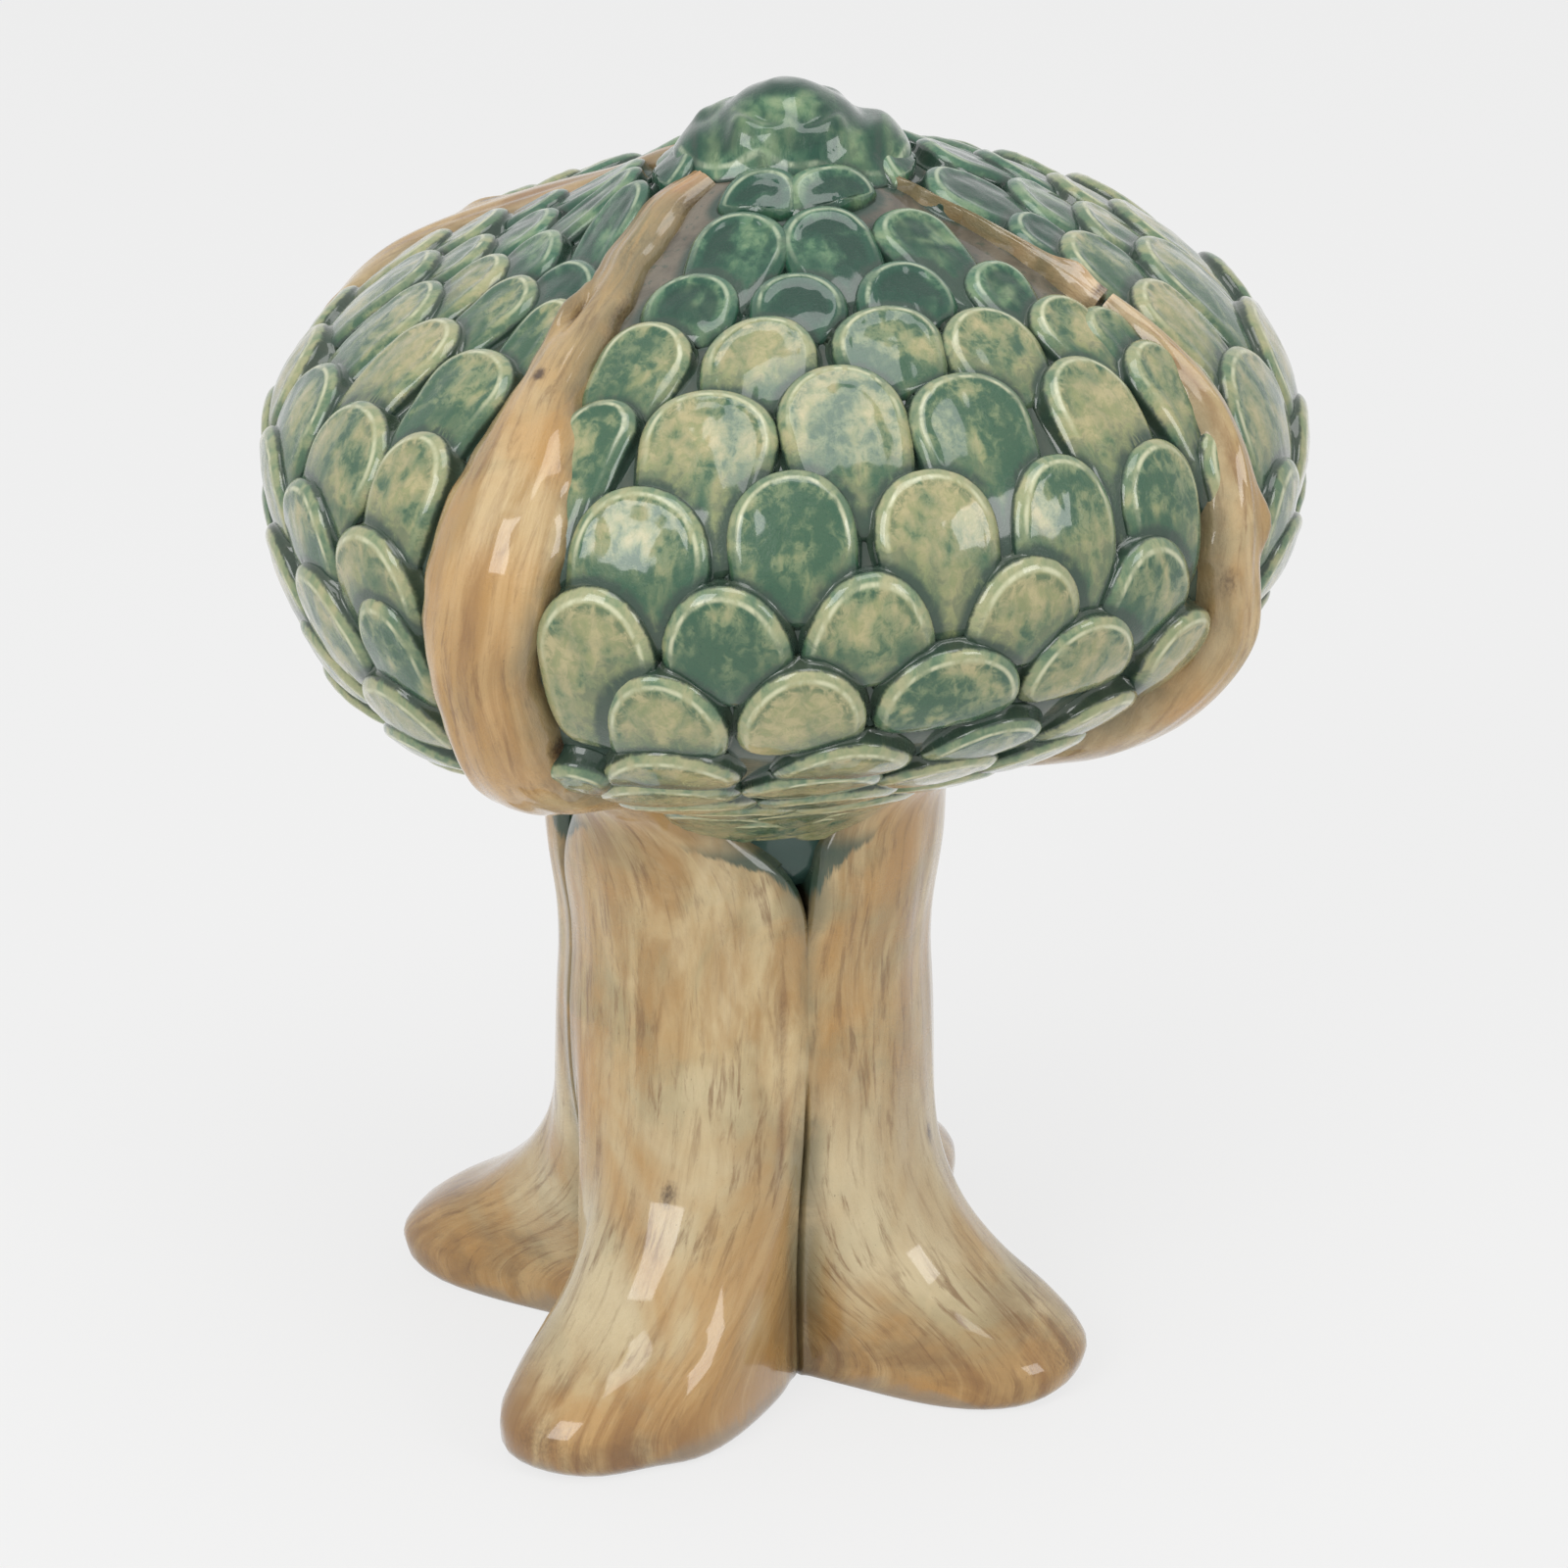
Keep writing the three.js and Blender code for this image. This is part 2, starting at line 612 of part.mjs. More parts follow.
const envelope = crownEnvelope();
for (const limb of limbs) {
  const split = limb.name === "right";
  if (split) {
    const tip = branchPiece(limb, branchTop, forkPlace, false).subtract(envelope);
    addPiece("right_branch_tip", toGeometry(tip), glazes.branch);
  }
  const start = split ? forkPlace + forkGap : branchTop;
  const branch = branchPiece(limb, start, 2, split).subtract(envelope);
  addPiece(`${limb.name}_branch`, toGeometry(branch), glazes.branch);
  addPiece(`${limb.name}_stem`, toGeometry(stemSolid(limb)), glazes.bark);
}

const panelNames = ["front", "right", "back", "left"];
panelNames.forEach((name, panel) => {
  leafRows.forEach((row, k) => {
    const glaze = k < 3 ? glazes.darkLeaf : glazes.leaf;
    addPiece(`${name}_leaves_${String(k + 1).padStart(2, "0")}`, courseGeometry(panel, k), glaze);
  });
});
addPiece("cap_leaf", capGeometry(), glazes.darkLeaf);

export default group;
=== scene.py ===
import math

import bpy
import numpy as np
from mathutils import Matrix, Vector
from mathutils.kdtree import KDTree


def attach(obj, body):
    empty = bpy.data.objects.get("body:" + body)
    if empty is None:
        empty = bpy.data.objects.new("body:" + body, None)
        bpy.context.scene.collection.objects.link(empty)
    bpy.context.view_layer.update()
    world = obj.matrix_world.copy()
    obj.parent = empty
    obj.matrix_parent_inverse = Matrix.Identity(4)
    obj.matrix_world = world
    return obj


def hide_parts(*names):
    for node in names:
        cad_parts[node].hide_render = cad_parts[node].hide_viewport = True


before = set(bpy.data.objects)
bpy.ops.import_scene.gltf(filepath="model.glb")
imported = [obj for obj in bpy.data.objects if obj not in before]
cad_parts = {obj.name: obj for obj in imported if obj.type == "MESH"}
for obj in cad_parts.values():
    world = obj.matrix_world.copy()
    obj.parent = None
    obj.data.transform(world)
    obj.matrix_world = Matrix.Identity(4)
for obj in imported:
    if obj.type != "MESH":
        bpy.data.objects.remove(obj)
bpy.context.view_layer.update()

# A glazed ceramic tree: a crown of pressed leaf pads between four branches, on a trunk of four stems.
# Lengths are in millimetres until a mesh is made. Directions turn from the front (-Y) towards +X.

millimetre = 0.001


# Small maths

def smooth(value, low, high):
    t = np.clip((np.asarray(value, float) - low) / (high - low), 0, 1)
    return t * t * (3 - 2 * t)


def mixed(a, b, share):
    return a + (b - a) * share


def along(pairs, value):      # a smooth value from [x, value] pairs, level beyond both ends
    xs, ys = np.array(pairs, float).T
    value = np.clip(value, xs[0], xs[-1])
    k = np.clip(np.searchsorted(xs, value, side="right") - 1, 0, len(xs) - 2)
    before, after = np.maximum(k - 1, 0), np.minimum(k + 2, len(xs) - 1)
    step = xs[k + 1] - xs[k]
    t = (value - xs[k]) / step
    slopeIn = (ys[k + 1] - ys[before]) / (xs[k + 1] - xs[before]) * step
    slopeOut = (ys[after] - ys[k]) / (xs[after] - xs[k]) * step
    level = (2 * t**3 - 3 * t**2 + 1) * ys[k] + (3 * t**2 - 2 * t**3) * ys[k + 1]
    return level + (t**3 - 2 * t**2 + t) * slopeIn + (t**3 - t**2) * slopeOut


def wander(a, b):             # a repeatable unevenness from -1 to 1
    return np.sin(a * 12.99 + b * 78.23 + 1.7)


def ripple(a, b):             # slow hand-made waves from about -1 to 1
    wave = np.sin(1.7 * a + 1.3 * np.sin(0.9 * b + 0.4)) + np.sin(2.9 * a - 1.1 * b + 2.0)
    return (wave + np.sin(0.8 * a + 2.1 * b + 1.1 * np.sin(1.9 * a)) + np.sin(4.3 * a + 0.7 * b)) / 4


# The crown's body, under the leaves

crownBody = {
    "widestHeight": 266, "radius": 133, "domeRise": 86.5, "domePowers": (1.12, 1.93),
    "bowlDrop": 101.5, "bowlPower": 2.4, "neckRadius": 46, "neckFillet": 30,
    "domeLean": 0.115, "bowlLean": 0.116, "levelRadius": 60, "leanEnd": 0.42,
    "bendStart": 0.25, "trunkOffset": -11, "wall": 9, "boreRadius": 26, "innerDepth": 62, "innerPower": 0.55,
    "lip": 4, "lipHeight": 6, "seamGap": 0.3,
    # how far the underside was drawn down all round, and raised again at the front, down the profile
    "funnel": [[0.05, 0], [0.15, 1.5], [0.3, 4], [0.5, 3.2], [0.7, 1.2], [0.85, 0], [1.6, 0], [1.68, 2.5],
               [1.76, 5.5], [1.85, 6], [1.94, 3], [2, 0]],
    "frontRaise": [[1.15, 0], [1.25, 1.5], [1.35, 4], [1.45, 4.6], [1.55, 3], [1.65, 0], [2, 0]],
    "frontMiddle": 8, "frontWidth": 32,
    # radius, and height over the foot of the neck, of the clay that goes on behind the stems' seams
    "neckPlug": [[48.5, -4], [46, -10], [42, -13], [36, -14], [26, -14]],
}
widestHeight = crownBody["widestHeight"]
neckFoot = widestHeight - crownBody["bowlDrop"]


def turnedProfile():
    turn = np.linspace(0, np.pi / 2, 1500)
    radius, rise = crownBody["radius"], crownBody["domeRise"]
    radiusPower, risePower = crownBody["domePowers"]
    dome = np.stack([radius * np.sin(turn)**(2 / radiusPower), rise * np.cos(turn)**(2 / risePower)], 1)
    dome[-1, 1] = 0
    neck, fillet = crownBody["neckRadius"], crownBody["neckFillet"]
    power, drop = crownBody["bowlPower"], crownBody["bowlDrop"]
    turn = np.linspace(0, math.acos((fillet / (radius - neck))**(power / 2)), 1000)
    belly = np.stack([radius - (radius - neck) * (1 - np.cos(turn)**(2 / power)),
                      -(drop - fillet) * np.sin(turn)**(2 / power)], 1)
    turn = np.linspace(0, np.pi / 2, 500)[1:]
    curve = np.stack([neck + fillet * (1 - np.sin(turn)), -drop + (drop + belly[-1, 1]) * np.cos(turn)], 1)
    table, runs = [], []
    for half in (dome, np.concatenate([belly, curve])):
        run = np.append(0, np.cumsum(np.hypot(*np.diff(half, axis=0).T)))
        slope = np.gradient(half, axis=0)
        slope /= np.hypot(*slope.T)[:, None]
        first = len(runs)
        table.append(np.column_stack([first + run / run[-1], half, slope])[first:])
        runs.append(run[-1])
    return np.concatenate(table).T, *runs


# places down the profile: 0 at the top, 1 at the widest level and 2 at the foot of the neck
(placeList, *profile), domeRun, bowlRun = turnedProfile()


def bodyRadius(place):
    return np.interp(place, placeList, profile[0])


def offProfile(place, height):        # radius and height of a point this far off the turned profile
    r, z, slopeR, slopeZ = (np.interp(place, placeList, column) for column in profile)
    return r - height * slopeZ, widestHeight + z + height * slopeR


def runAt(place):             # millimetres down the profile from the top
    return np.where(np.asarray(place) < 1, domeRun * place, domeRun + bowlRun * (place - 1))


def placeAt(run):
    return np.where(np.asarray(run) < domeRun, run / domeRun, 1 + (run - domeRun) / bowlRun)


def settle(points):           # the crown leans, and its neck bends over to the trunk's axis
    points = np.array(points, float)
    depth = widestHeight - points[..., 2]
    drop = crownBody["bowlDrop"]
    toNeck = smooth(depth, crownBody["leanEnd"] * drop, drop)
    fromAxis = smooth(np.hypot(points[..., 0], points[..., 1]), 0, crownBody["levelRadius"])
    lean = np.where(depth < 0, crownBody["domeLean"] * fromAxis, -crownBody["bowlLean"] * (1 - toNeck))
    points[..., 2] = widestHeight - depth * (1 + lean * points[..., 0] / crownBody["radius"])
    points[..., 0] += crownBody["trunkOffset"] * smooth(depth, crownBody["bendStart"] * drop, drop)
    return points


def turnFrom(degrees, direction):
    return (direction - math.radians(degrees) + np.pi) % (2 * np.pi) - np.pi


def easedDown(place, direction):     # how far the hand-shaped underside lies below the turned profile
    fromFront = turnFrom(crownBody["frontMiddle"], direction) / math.radians(crownBody["frontWidth"])
    front = np.exp(-fromFront**2)
    return along(crownBody["funnel"], place) - front * along(crownBody["frontRaise"], place)


def crownPoint(place, direction, height):
    place, direction, height = np.broadcast_arrays(place, direction, height)
    r, z = offProfile(place, height)
    z = z - easedDown(place, direction)
    return settle(np.stack([r * np.sin(direction), -r * np.cos(direction), z], -1))


# Meshes

def placed(name, data):
    thing = bpy.data.objects.new(name, data)
    bpy.context.scene.collection.objects.link(thing)
    return thing


def makePiece(name, points, quads, triangles, glaze, marks):
    mesh = bpy.data.meshes.new(name)
    quads = np.asarray(quads, np.int32).reshape(-1, 4)
    triangles = np.asarray(triangles, np.int32).reshape(-1, 3)
    corners = np.concatenate([quads.ravel(), triangles.ravel()])
    starts = np.concatenate([np.arange(len(quads)) * 4, len(quads) * 4 + np.arange(len(triangles)) * 3])
    mesh.vertices.add(len(points))
    mesh.vertices.foreach_set("co", (np.asarray(points) * millimetre).astype(np.float32).ravel())
    mesh.loops.add(len(corners))
    mesh.loops.foreach_set("vertex_index", corners.astype(np.int32))
    mesh.polygons.add(len(starts))
    mesh.polygons.foreach_set("loop_start", starts.astype(np.int32))
    mesh.polygons.foreach_set("use_smooth", np.ones(len(starts), bool))
    mesh.update(calc_edges=True)
    for key, values in marks.items():
        values = np.asarray(values, np.float32)
        wide = values.ndim == 2
        mark = mesh.attributes.new(key, "FLOAT_VECTOR" if wide else "FLOAT", "POINT")
        mark.data.foreach_set("vector" if wide else "value", values.ravel())
    mesh.materials.append(glaze)
    piece = placed(name, mesh)
    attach(piece, "root")
    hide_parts(name.replace("_glazed", ""))
    return piece


def gridQuads(rows, columns, closed=False):
    across = np.arange(columns if closed else columns - 1)
    down = np.arange(rows - 1)[:, None] * columns
    a, b = down + across, down + (across + 1) % columns
    return np.stack([a, b, b + columns, a + columns], -1).reshape(-1, 4)


def closedRings(rings, sides):        # with a fan at each end to one of the two points that follow the rings
    ring, last, count = np.arange(sides), (rings - 1) * sides, rings * sides
    following = (ring + 1) % sides
    fans = [np.stack([following, ring, 0 * ring + count], -1),
            np.stack([last + ring, last + following, 0 * ring + count + 1], -1)]
    return gridQuads(rings, sides, closed=True), np.concatenate(fans)


# Limbs: each is a stem and the branch that it runs into, laid out as one sheet from the ground to the tip

# A bump is [place, t, spread down the limb, spread across, height], t running from -1 to 1 across it.
# A fold is the same on a root, from its height, and a stain has its strength last. "edgeTurns" are the
# degrees that each edge turns to the right, [place, left, right], to the hand-laid run of each branch.
limbs = [
    {"name": "front", "stem": -25, "toe": 107, "toeTurn": -4, "lobeSkew": 0.08, "rise": 1, "branch": -34,
     "topBend": -9, "stout": 1,
     "bumps": [[0.5, -0.8, 0.05, 0.32, 4], [0.49, -0.3, 0.045, 0.13, -3.2], [0.98, 0.86, 0.07, 0.2, 2],
               [1, -0.86, 0.08, 0.2, 2], [0.9, 0.75, 0.025, 0.3, -1.2], [0.74, 0.55, 0.05, 0.3, 1.2]],
     "folds": [[6, 0.3, 26, 0.13, -6.5], [20, 0.62, 24, 0.16, 3.5], [4, -0.05, 14, 0.16, 2],
               [48, 0.1, 9, 0.3, 1.5]],
     "stains": [[0.49, -0.3, 0.035, 0.1, 0.9], [0.642, -0.11, 0.012, 0.16, 1.3], [0.35, 0.3, 0.09, 0.4, 0.35],
                [0.47, 0.9, 0.07, 0.2, 0.6], [1.27, 1, 0.03, 0.1, 1], [0.2, 0.9, 0.05, 0.4, 0.6]],
     "edgeTurns": [[0.12, -18, -13], [0.2, -20, -15], [0.25, -19, -14], [0.3, -15, -12], [0.35, -12, -11],
                   [0.4, -8, -8], [0.5, -4, -6], [0.6, -1, -5], [0.65, 0, -3.8], [0.75, 0.5, 0.5],
                   [0.9, 1.2, 1.5], [1, 1.8, 0], [1.1, 1.8, -3], [1.2, 2, -4.4], [1.3, 2.5, -7.2],
                   [1.4, 3, -10.3], [1.5, 3, -14.1], [1.6, 2, -18.8], [1.7, 1, -24.4], [1.8, 0, -26.4],
                   [1.88, 0, -20.6], [1.95, 0, -10.5], [2, 0, 0]]},
    {"name": "right", "stem": 65, "toe": 100, "toeTurn": -4, "lobeSkew": 0, "rise": 0.8, "branch": 58,
     "topBend": 10, "stout": 0.72,
     "bumps": [[0.98, 0.75, 0.03, 0.3, 5.5], [0.7, -0.6, 0.05, 0.3, -4], [0.53, 0.25, 0.03, 0.5, 2.2],
               [0.85, -0.1, 0.1, 0.2, 1.5], [1.15, 0.4, 0.08, 0.3, 1.5], [1.42, 0, 0.24, 1.4, 5]],
     "folds": [[16, -0.28, 20, 0.13, -4], [34, 0.05, 22, 0.1, 2], [10, -0.6, 16, 0.2, 2]],
     "stains": [[0.7, -0.65, 0.05, 0.3, 1.2], [0.585, 0, 0.012, 1, 1], [1.05, -0.7, 0.04, 0.2, 0.6],
                [0.8, -0.9, 0.08, 0.15, 0.5]],
     "edgeTurns": [[0.17, 5, -5], [0.25, 7.5, -7], [0.35, 8.5, -2.5], [0.5, 7.5, -0.5], [0.6, 6.5, -0.3],
                   [0.7, 5, 0.3], [0.8, 3.8, 0], [0.9, 2.2, -2], [1, 0.5, -4], [1.1, 1, -5], [1.2, 1, -5.5],
                   [1.35, -1.2, -6], [1.5, 0.9, -4], [1.65, 3.9, -2], [1.8, 7.4, 0], [1.88, 1.6, 0],
                   [1.95, -4.5, 0], [2, 0, 0]]},
    {"name": "back", "stem": 155, "toe": 103, "toeTurn": 0, "lobeSkew": 0, "rise": 0.9, "branch": 156,
     "topBend": 12, "stout": 0.9,
     "bumps": [[0.55, 0.7, 0.05, 0.3, 3.5], [0.94, -0.8, 0.06, 0.2, 2.5], [0.98, 0.86, 0.07, 0.2, 2]],
     "folds": [[10, 0.3, 22, 0.14, -4.5], [26, -0.4, 20, 0.16, 2.5]],
     "stains": [[0.5, 0.4, 0.04, 0.15, 0.8], [1.2, 0.9, 0.04, 0.15, 0.7], [0.3, -0.4, 0.08, 0.4, 0.4]],
     "edgeTurns": [[0.2, 3, -2], [0.4, 5, 1], [0.6, 1, -3], [0.8, -1, 0], [1, 1, -1], [1.2, 3, -3],
                   [1.5, 2, -2], [1.8, 0, 0]]},
    {"name": "left", "stem": -115, "toe": 101, "toeTurn": 0, "lobeSkew": 0, "rise": 0.83, "branch": -119,
     "topBend": -12, "stout": 0.85,
     "bumps": [[0.62, -0.7, 0.05, 0.3, 3.5], [0.9, 0.8, 0.06, 0.22, 3], [1.05, -0.8, 0.07, 0.2, 2]],
     "folds": [[12, -0.32, 20, 0.14, -4], [30, 0.35, 20, 0.16, 2.5]],
     "stains": [[0.58, -0.4, 0.04, 0.15, 0.8], [0.95, 0.9, 0.04, 0.15, 0.7], [0.3, 0.4, 0.08, 0.4, 0.4]],
     "edgeTurns": [[0.2, -2, 3], [0.4, -4, 1], [0.6, 1, -2], [0.8, 2, -1], [1, 0, 1], [1.2, 3, -3],
                   [1.5, 2, -2], [1.8, 0, 0]]},
]
branchShape = {
    "halfAngles": [[0.1, 15], [0.17, 11.5], [0.25, 9.5], [0.41, 7.8], [0.61, 8.2], [0.78, 8], [0.9, 8.5],
                   [1.05, 9.3], [1.2, 10.2], [1.35, 13.7], [1.5, 19.5], [1.62, 25.5], [1.75, 34],
                   [1.84, 36], [1.93, 34.5], [2, 45]],
    "heights": [[0.1, 5], [0.41, 7], [0.63, 9.5], [0.8, 12], [1, 14.5], [1.2, 15.5], [1.4, 12.5], [1.55, 9],
                [1.66, 7.5], [1.76, 7], [1.86, 7.5], [2, 12]],
    "top": 0.155, "arch": 0.42, "sink": 0.8, "bendFade": 0.12, "neckTurn": (1, 1.75),
    "stoutEnd": (1.2, 1.5), "forkPlace": 0.6, "bedShare": 0.94,
}
stemShape = {
    "ridge": [[0, 100], [6, 102], [14, 102], [24, 94], [36, 79], [49, 67.5], [62, 60.5], [76, 56],
              [90, 53.5], [105, 52.5], [120, 52], [136, 53], [152, 55.5], [166, 58.5]],
    "crease": [[0, 46], [30, 43], [52, 44], [80, 48], [105, 48], [125, 43], [140, 42], [166, 46]],
    "seamFill": [[0, 0], [40, 2.5], [80, 3], [105, 4], [125, 8], [140, 10], [152, 11], [166, 11]],
    # the cut along a seam: wide open between the front and right stems, shallow at the others
    "openSeam": [[0, 2], [60, 3], [84, 2.6], [97, 0.8], [108, 0.2], [138, 0.2], [146, 3], [156, 3.5], [166, 2]],
    "quietSeam": [[0, 5], [50, 4], [84, 3], [110, 1], [145, 1], [166, 4]], "seamWidths": (0.6, 1.1),
    "toe": 102, "waist": 52, "flareReach": 50, "flareFade": (90, 118), "grooveDepth": 0.9,
    "rootFoot": 5, "footRound": 4.5, "bore": 30, "wall": 18, "socket": (149.8, 36.6),
    "stains": [[12, 0, 7, 0.12, 0.5], [66, 0.12, 4, 0.05, 0.9]],
}


def spotted(spots, down, across):     # the sum of a limb's bumps or stains
    total = 0 * down * across
    for spotDown, spotAcross, spread, wide, amount in spots:
        total = total + amount * np.exp(-((down - spotDown) / spread)**2 - ((across - spotAcross) / wide)**2)
    return total


def branchDirection(limb, place):
    bend = limb["topBend"] * np.exp(-(place - branchShape["top"]) / branchShape["bendFade"])
    turned = smooth(place, *branchShape["neckTurn"])
    return np.radians(mixed(limb["branch"] + bend, limb["stem"], turned))


def branchHalf(limb, place):
    stout = mixed(limb["stout"], 1, smooth(place, *branchShape["stoutEnd"]))
    return np.radians(np.minimum(along(branchShape["halfAngles"], place) * stout, 45))


def edgeTurn(limb, place, column):     # column 1 is the left edge's, 2 the right edge's
    return np.radians(along([[row[0], row[column]] for row in limb["edgeTurns"]], place))


def limbEdges(limb, place):           # directions of the branch's left and right edges
    middle, half = branchDirection(limb, place), branchHalf(limb, place)
    return middle - half + edgeTurn(limb, place, 1), middle + half + edgeTurn(limb, place, 2)


def stemPoints(limb, t, height):
    shape = stemShape
    rise = mixed(limb["rise"], 1, smooth(height, 60, 110))
    ridge = along(shape["ridge"], height / rise)
    flare = np.clip((ridge - shape["waist"]) / shape["flareReach"], 0, 1)
    flare = flare * (1 - smooth(height, *shape["flareFade"]))
    reach = ridge + (limb["toe"] - shape["toe"]) * flare
    seam = along(shape["crease"], height) + along(shape["seamFill"], height)
    edge = 1 - np.abs(t)
    trunkLobe = np.sqrt(1 - np.abs(t)**2.6) * (1 - np.exp(-(edge / 0.16)**2))
    lobe = 0.5 + limb["lobeSkew"] * np.tanh(4 * t)
    rootLobe = (1.06 / (1 + (np.abs(t) / lobe)**4) - 0.06 * np.abs(t)) * (1 - np.exp(-(edge / 0.1)**2))
    radius = seam + (reach - seam) * mixed(trunkLobe, rootLobe, np.sqrt(flare))
    low = np.clip(1 - height / shape["rootFoot"], 0, 1)
    radius = radius - shape["footRound"] * (1 - np.sqrt(1 - low**2)) * np.ones_like(t)
    fromSeam = edge * radius * math.pi / 4
    besideV = (limb["name"] == "front") & (t > 0) | (limb["name"] == "right") & (t < 0)
    slit = np.where(besideV, along(shape["openSeam"], height), along(shape["quietSeam"], height))
    slitWidth = mixed(*shape["seamWidths"], smooth(height, 140, 156))
    radius = radius - slit * np.exp(-(fromSeam / slitWidth)**2)
    inGroove = 0 * radius
    if limb["name"] == "front":          # a shallow brown groove beside the front seam
        fromGroove = np.where(t > 0, fromSeam, 99) - mixed(8, 7, smooth(height, 60, 130))
        inGroove = np.exp(-(fromGroove / 1.3)**2) * smooth(height, 52, 70) * (1 - smooth(height, 118, 136))
        radius = radius - shape["grooveDepth"] * inGroove
    radius = radius + smooth(fromSeam, 0, 10) * spotted(limb["folds"], height, t)
    uneven = 0.3 * ripple(t * 7 + limb["stem"], height / 60) + 0.6 * ripple(t * 2, height / 26)
    radius = radius + smooth(fromSeam, 0, 7) * smooth(height, 0, 12) * uneven
    direction = np.radians(limb["stem"] + 45 * t + limb["toeTurn"] * flare * (1 - t**2))
    x = crownBody["trunkOffset"] + radius * np.sin(direction)
    # the distance from the seam, less where its cut is open, places the painted shade in and beside the seam
    seamMark = fromSeam + 3.5 * np.clip(1 - slit / 4, 0, 1)
    rust = 0.85 * smooth(radius, 80, 99) * (1 - smooth(height, 12, 32)) + 0.8 * inGroove
    stain = spotted(shape["stains"], height, t) + 0.35 * inGroove
    return np.stack([x, -radius * np.cos(direction), height + 0 * t], -1), [seamMark, rust, stain]


def branchPoints(limb, t, place):
    height = along(branchShape["heights"], place) * (limb["stout"] + 1) / 2
    tip = smooth(place, branchShape["top"] - 0.01, branchShape["top"] + 0.1)
    height = height * mixed(0.55, 1, tip)
    sink = branchShape["sink"]
    lift = (1 - t**2)**branchShape["arch"] * (height + sink) - sink
    uneven = 0.6 * ripple(t * 1.6 + limb["branch"], place * 9) + 0.3 * ripple(t * 5, place * 5)
    lift = lift + (1 - t**4) * smooth(2 - place, 0, 0.3) * uneven
    lift = lift + np.sqrt(1 - t**2) * spotted(limb["bumps"], place, t)
    left, right = limbEdges(limb, place)
    direction = (left + right) / 2 + (right - left) / 2 * t
    ragged = smooth(2 - place, 0.25, 0.6) * t**2
    direction = direction + 0.9 * ragged / (bodyRadius(place) + 8) * ripple(place * 24 + limb["stem"], t * 2)
    # the distance from the branch's edge places the painted shade along it
    seamMark = (1 - np.abs(t)) * (right - left) / 2 * bodyRadius(place) + 1.6
    rust = 0.7 * smooth(ripple(t * 2 + limb["stem"], place * 4), 0.2, 0.8) + 0 * lift
    return crownPoint(place, direction, lift), [seamMark, rust, spotted(limb["stains"], place, t)]


# columns on each half of a limb's sheet, rows of its stem and branch, and rows smoothed at the neck
sheetShape = {"columns": 33, "edgeCrowding": 1.8, "stemRows": 96, "branchRows": 170, "neckRows": (20, 24),
              "neckPasses": 90}


def limbSheet(index):
    limb = limbs[index]
    columns, rows = sheetShape["columns"], sheetShape["stemRows"]
    u = np.linspace(-1, 1, 2 * columns + 1)
    t = (np.sign(u) * (1 - (1 - np.abs(u))**sheetShape["edgeCrowding"]))[None, :]
    heights = neckFoot * np.linspace(0, 1, rows)[:, None]**1.12
    places = np.linspace(2, branchShape["top"], sheetShape["branchRows"])[1:, None]
    stem, stemMarks = stemPoints(limb, t, heights)
    branch, branchMarks = branchPoints(limb, t, places)
    sheet = np.concatenate([stem, branch])
    ease = np.zeros(len(sheet))
    below, over = sheetShape["neckRows"]
    ease[rows - below:rows + over] = np.hanning(below + over)
    for _ in range(sheetShape["neckPasses"]):         # smooths the neck along the limb's length
        middle = 0.5 * (sheet[:-2] + sheet[2:])
        sheet[1:-1] += 0.6 * ease[1:-1, None, None] * (middle - sheet[1:-1])
    steps = np.linalg.norm(np.diff(sheet[:, columns], axis=0), axis=1)
    run = np.append(0, np.cumsum(steps))[:, None] + 0 * t
    fromMiddle = np.cumsum(np.linalg.norm(np.diff(sheet, axis=1), axis=2), axis=1)
    fromMiddle = np.concatenate([0 * run[:, :1], fromMiddle], axis=1)
    fromMiddle = fromMiddle - fromMiddle[:, columns:columns + 1]
    grain = np.stack([fromMiddle, run, 0 * run + 90 * index], -1)
    painted = {name: np.concatenate([low + 0 * stem[..., 0], high])
               for name, low, high in zip(("seam", "rust", "stain"), stemMarks, branchMarks)}
    normals = np.cross(np.gradient(sheet, axis=1), np.gradient(sheet, axis=0))
    normals /= np.linalg.norm(normals, axis=2)[..., None] + 1e-9
    return {"limb": limb, "rows": rows, "sheet": sheet, "grain": grain, "painted": painted,
            "normals": normals, "places": np.concatenate([2 + 0 * heights[:, 0], places[:, 0]]), "t": t}


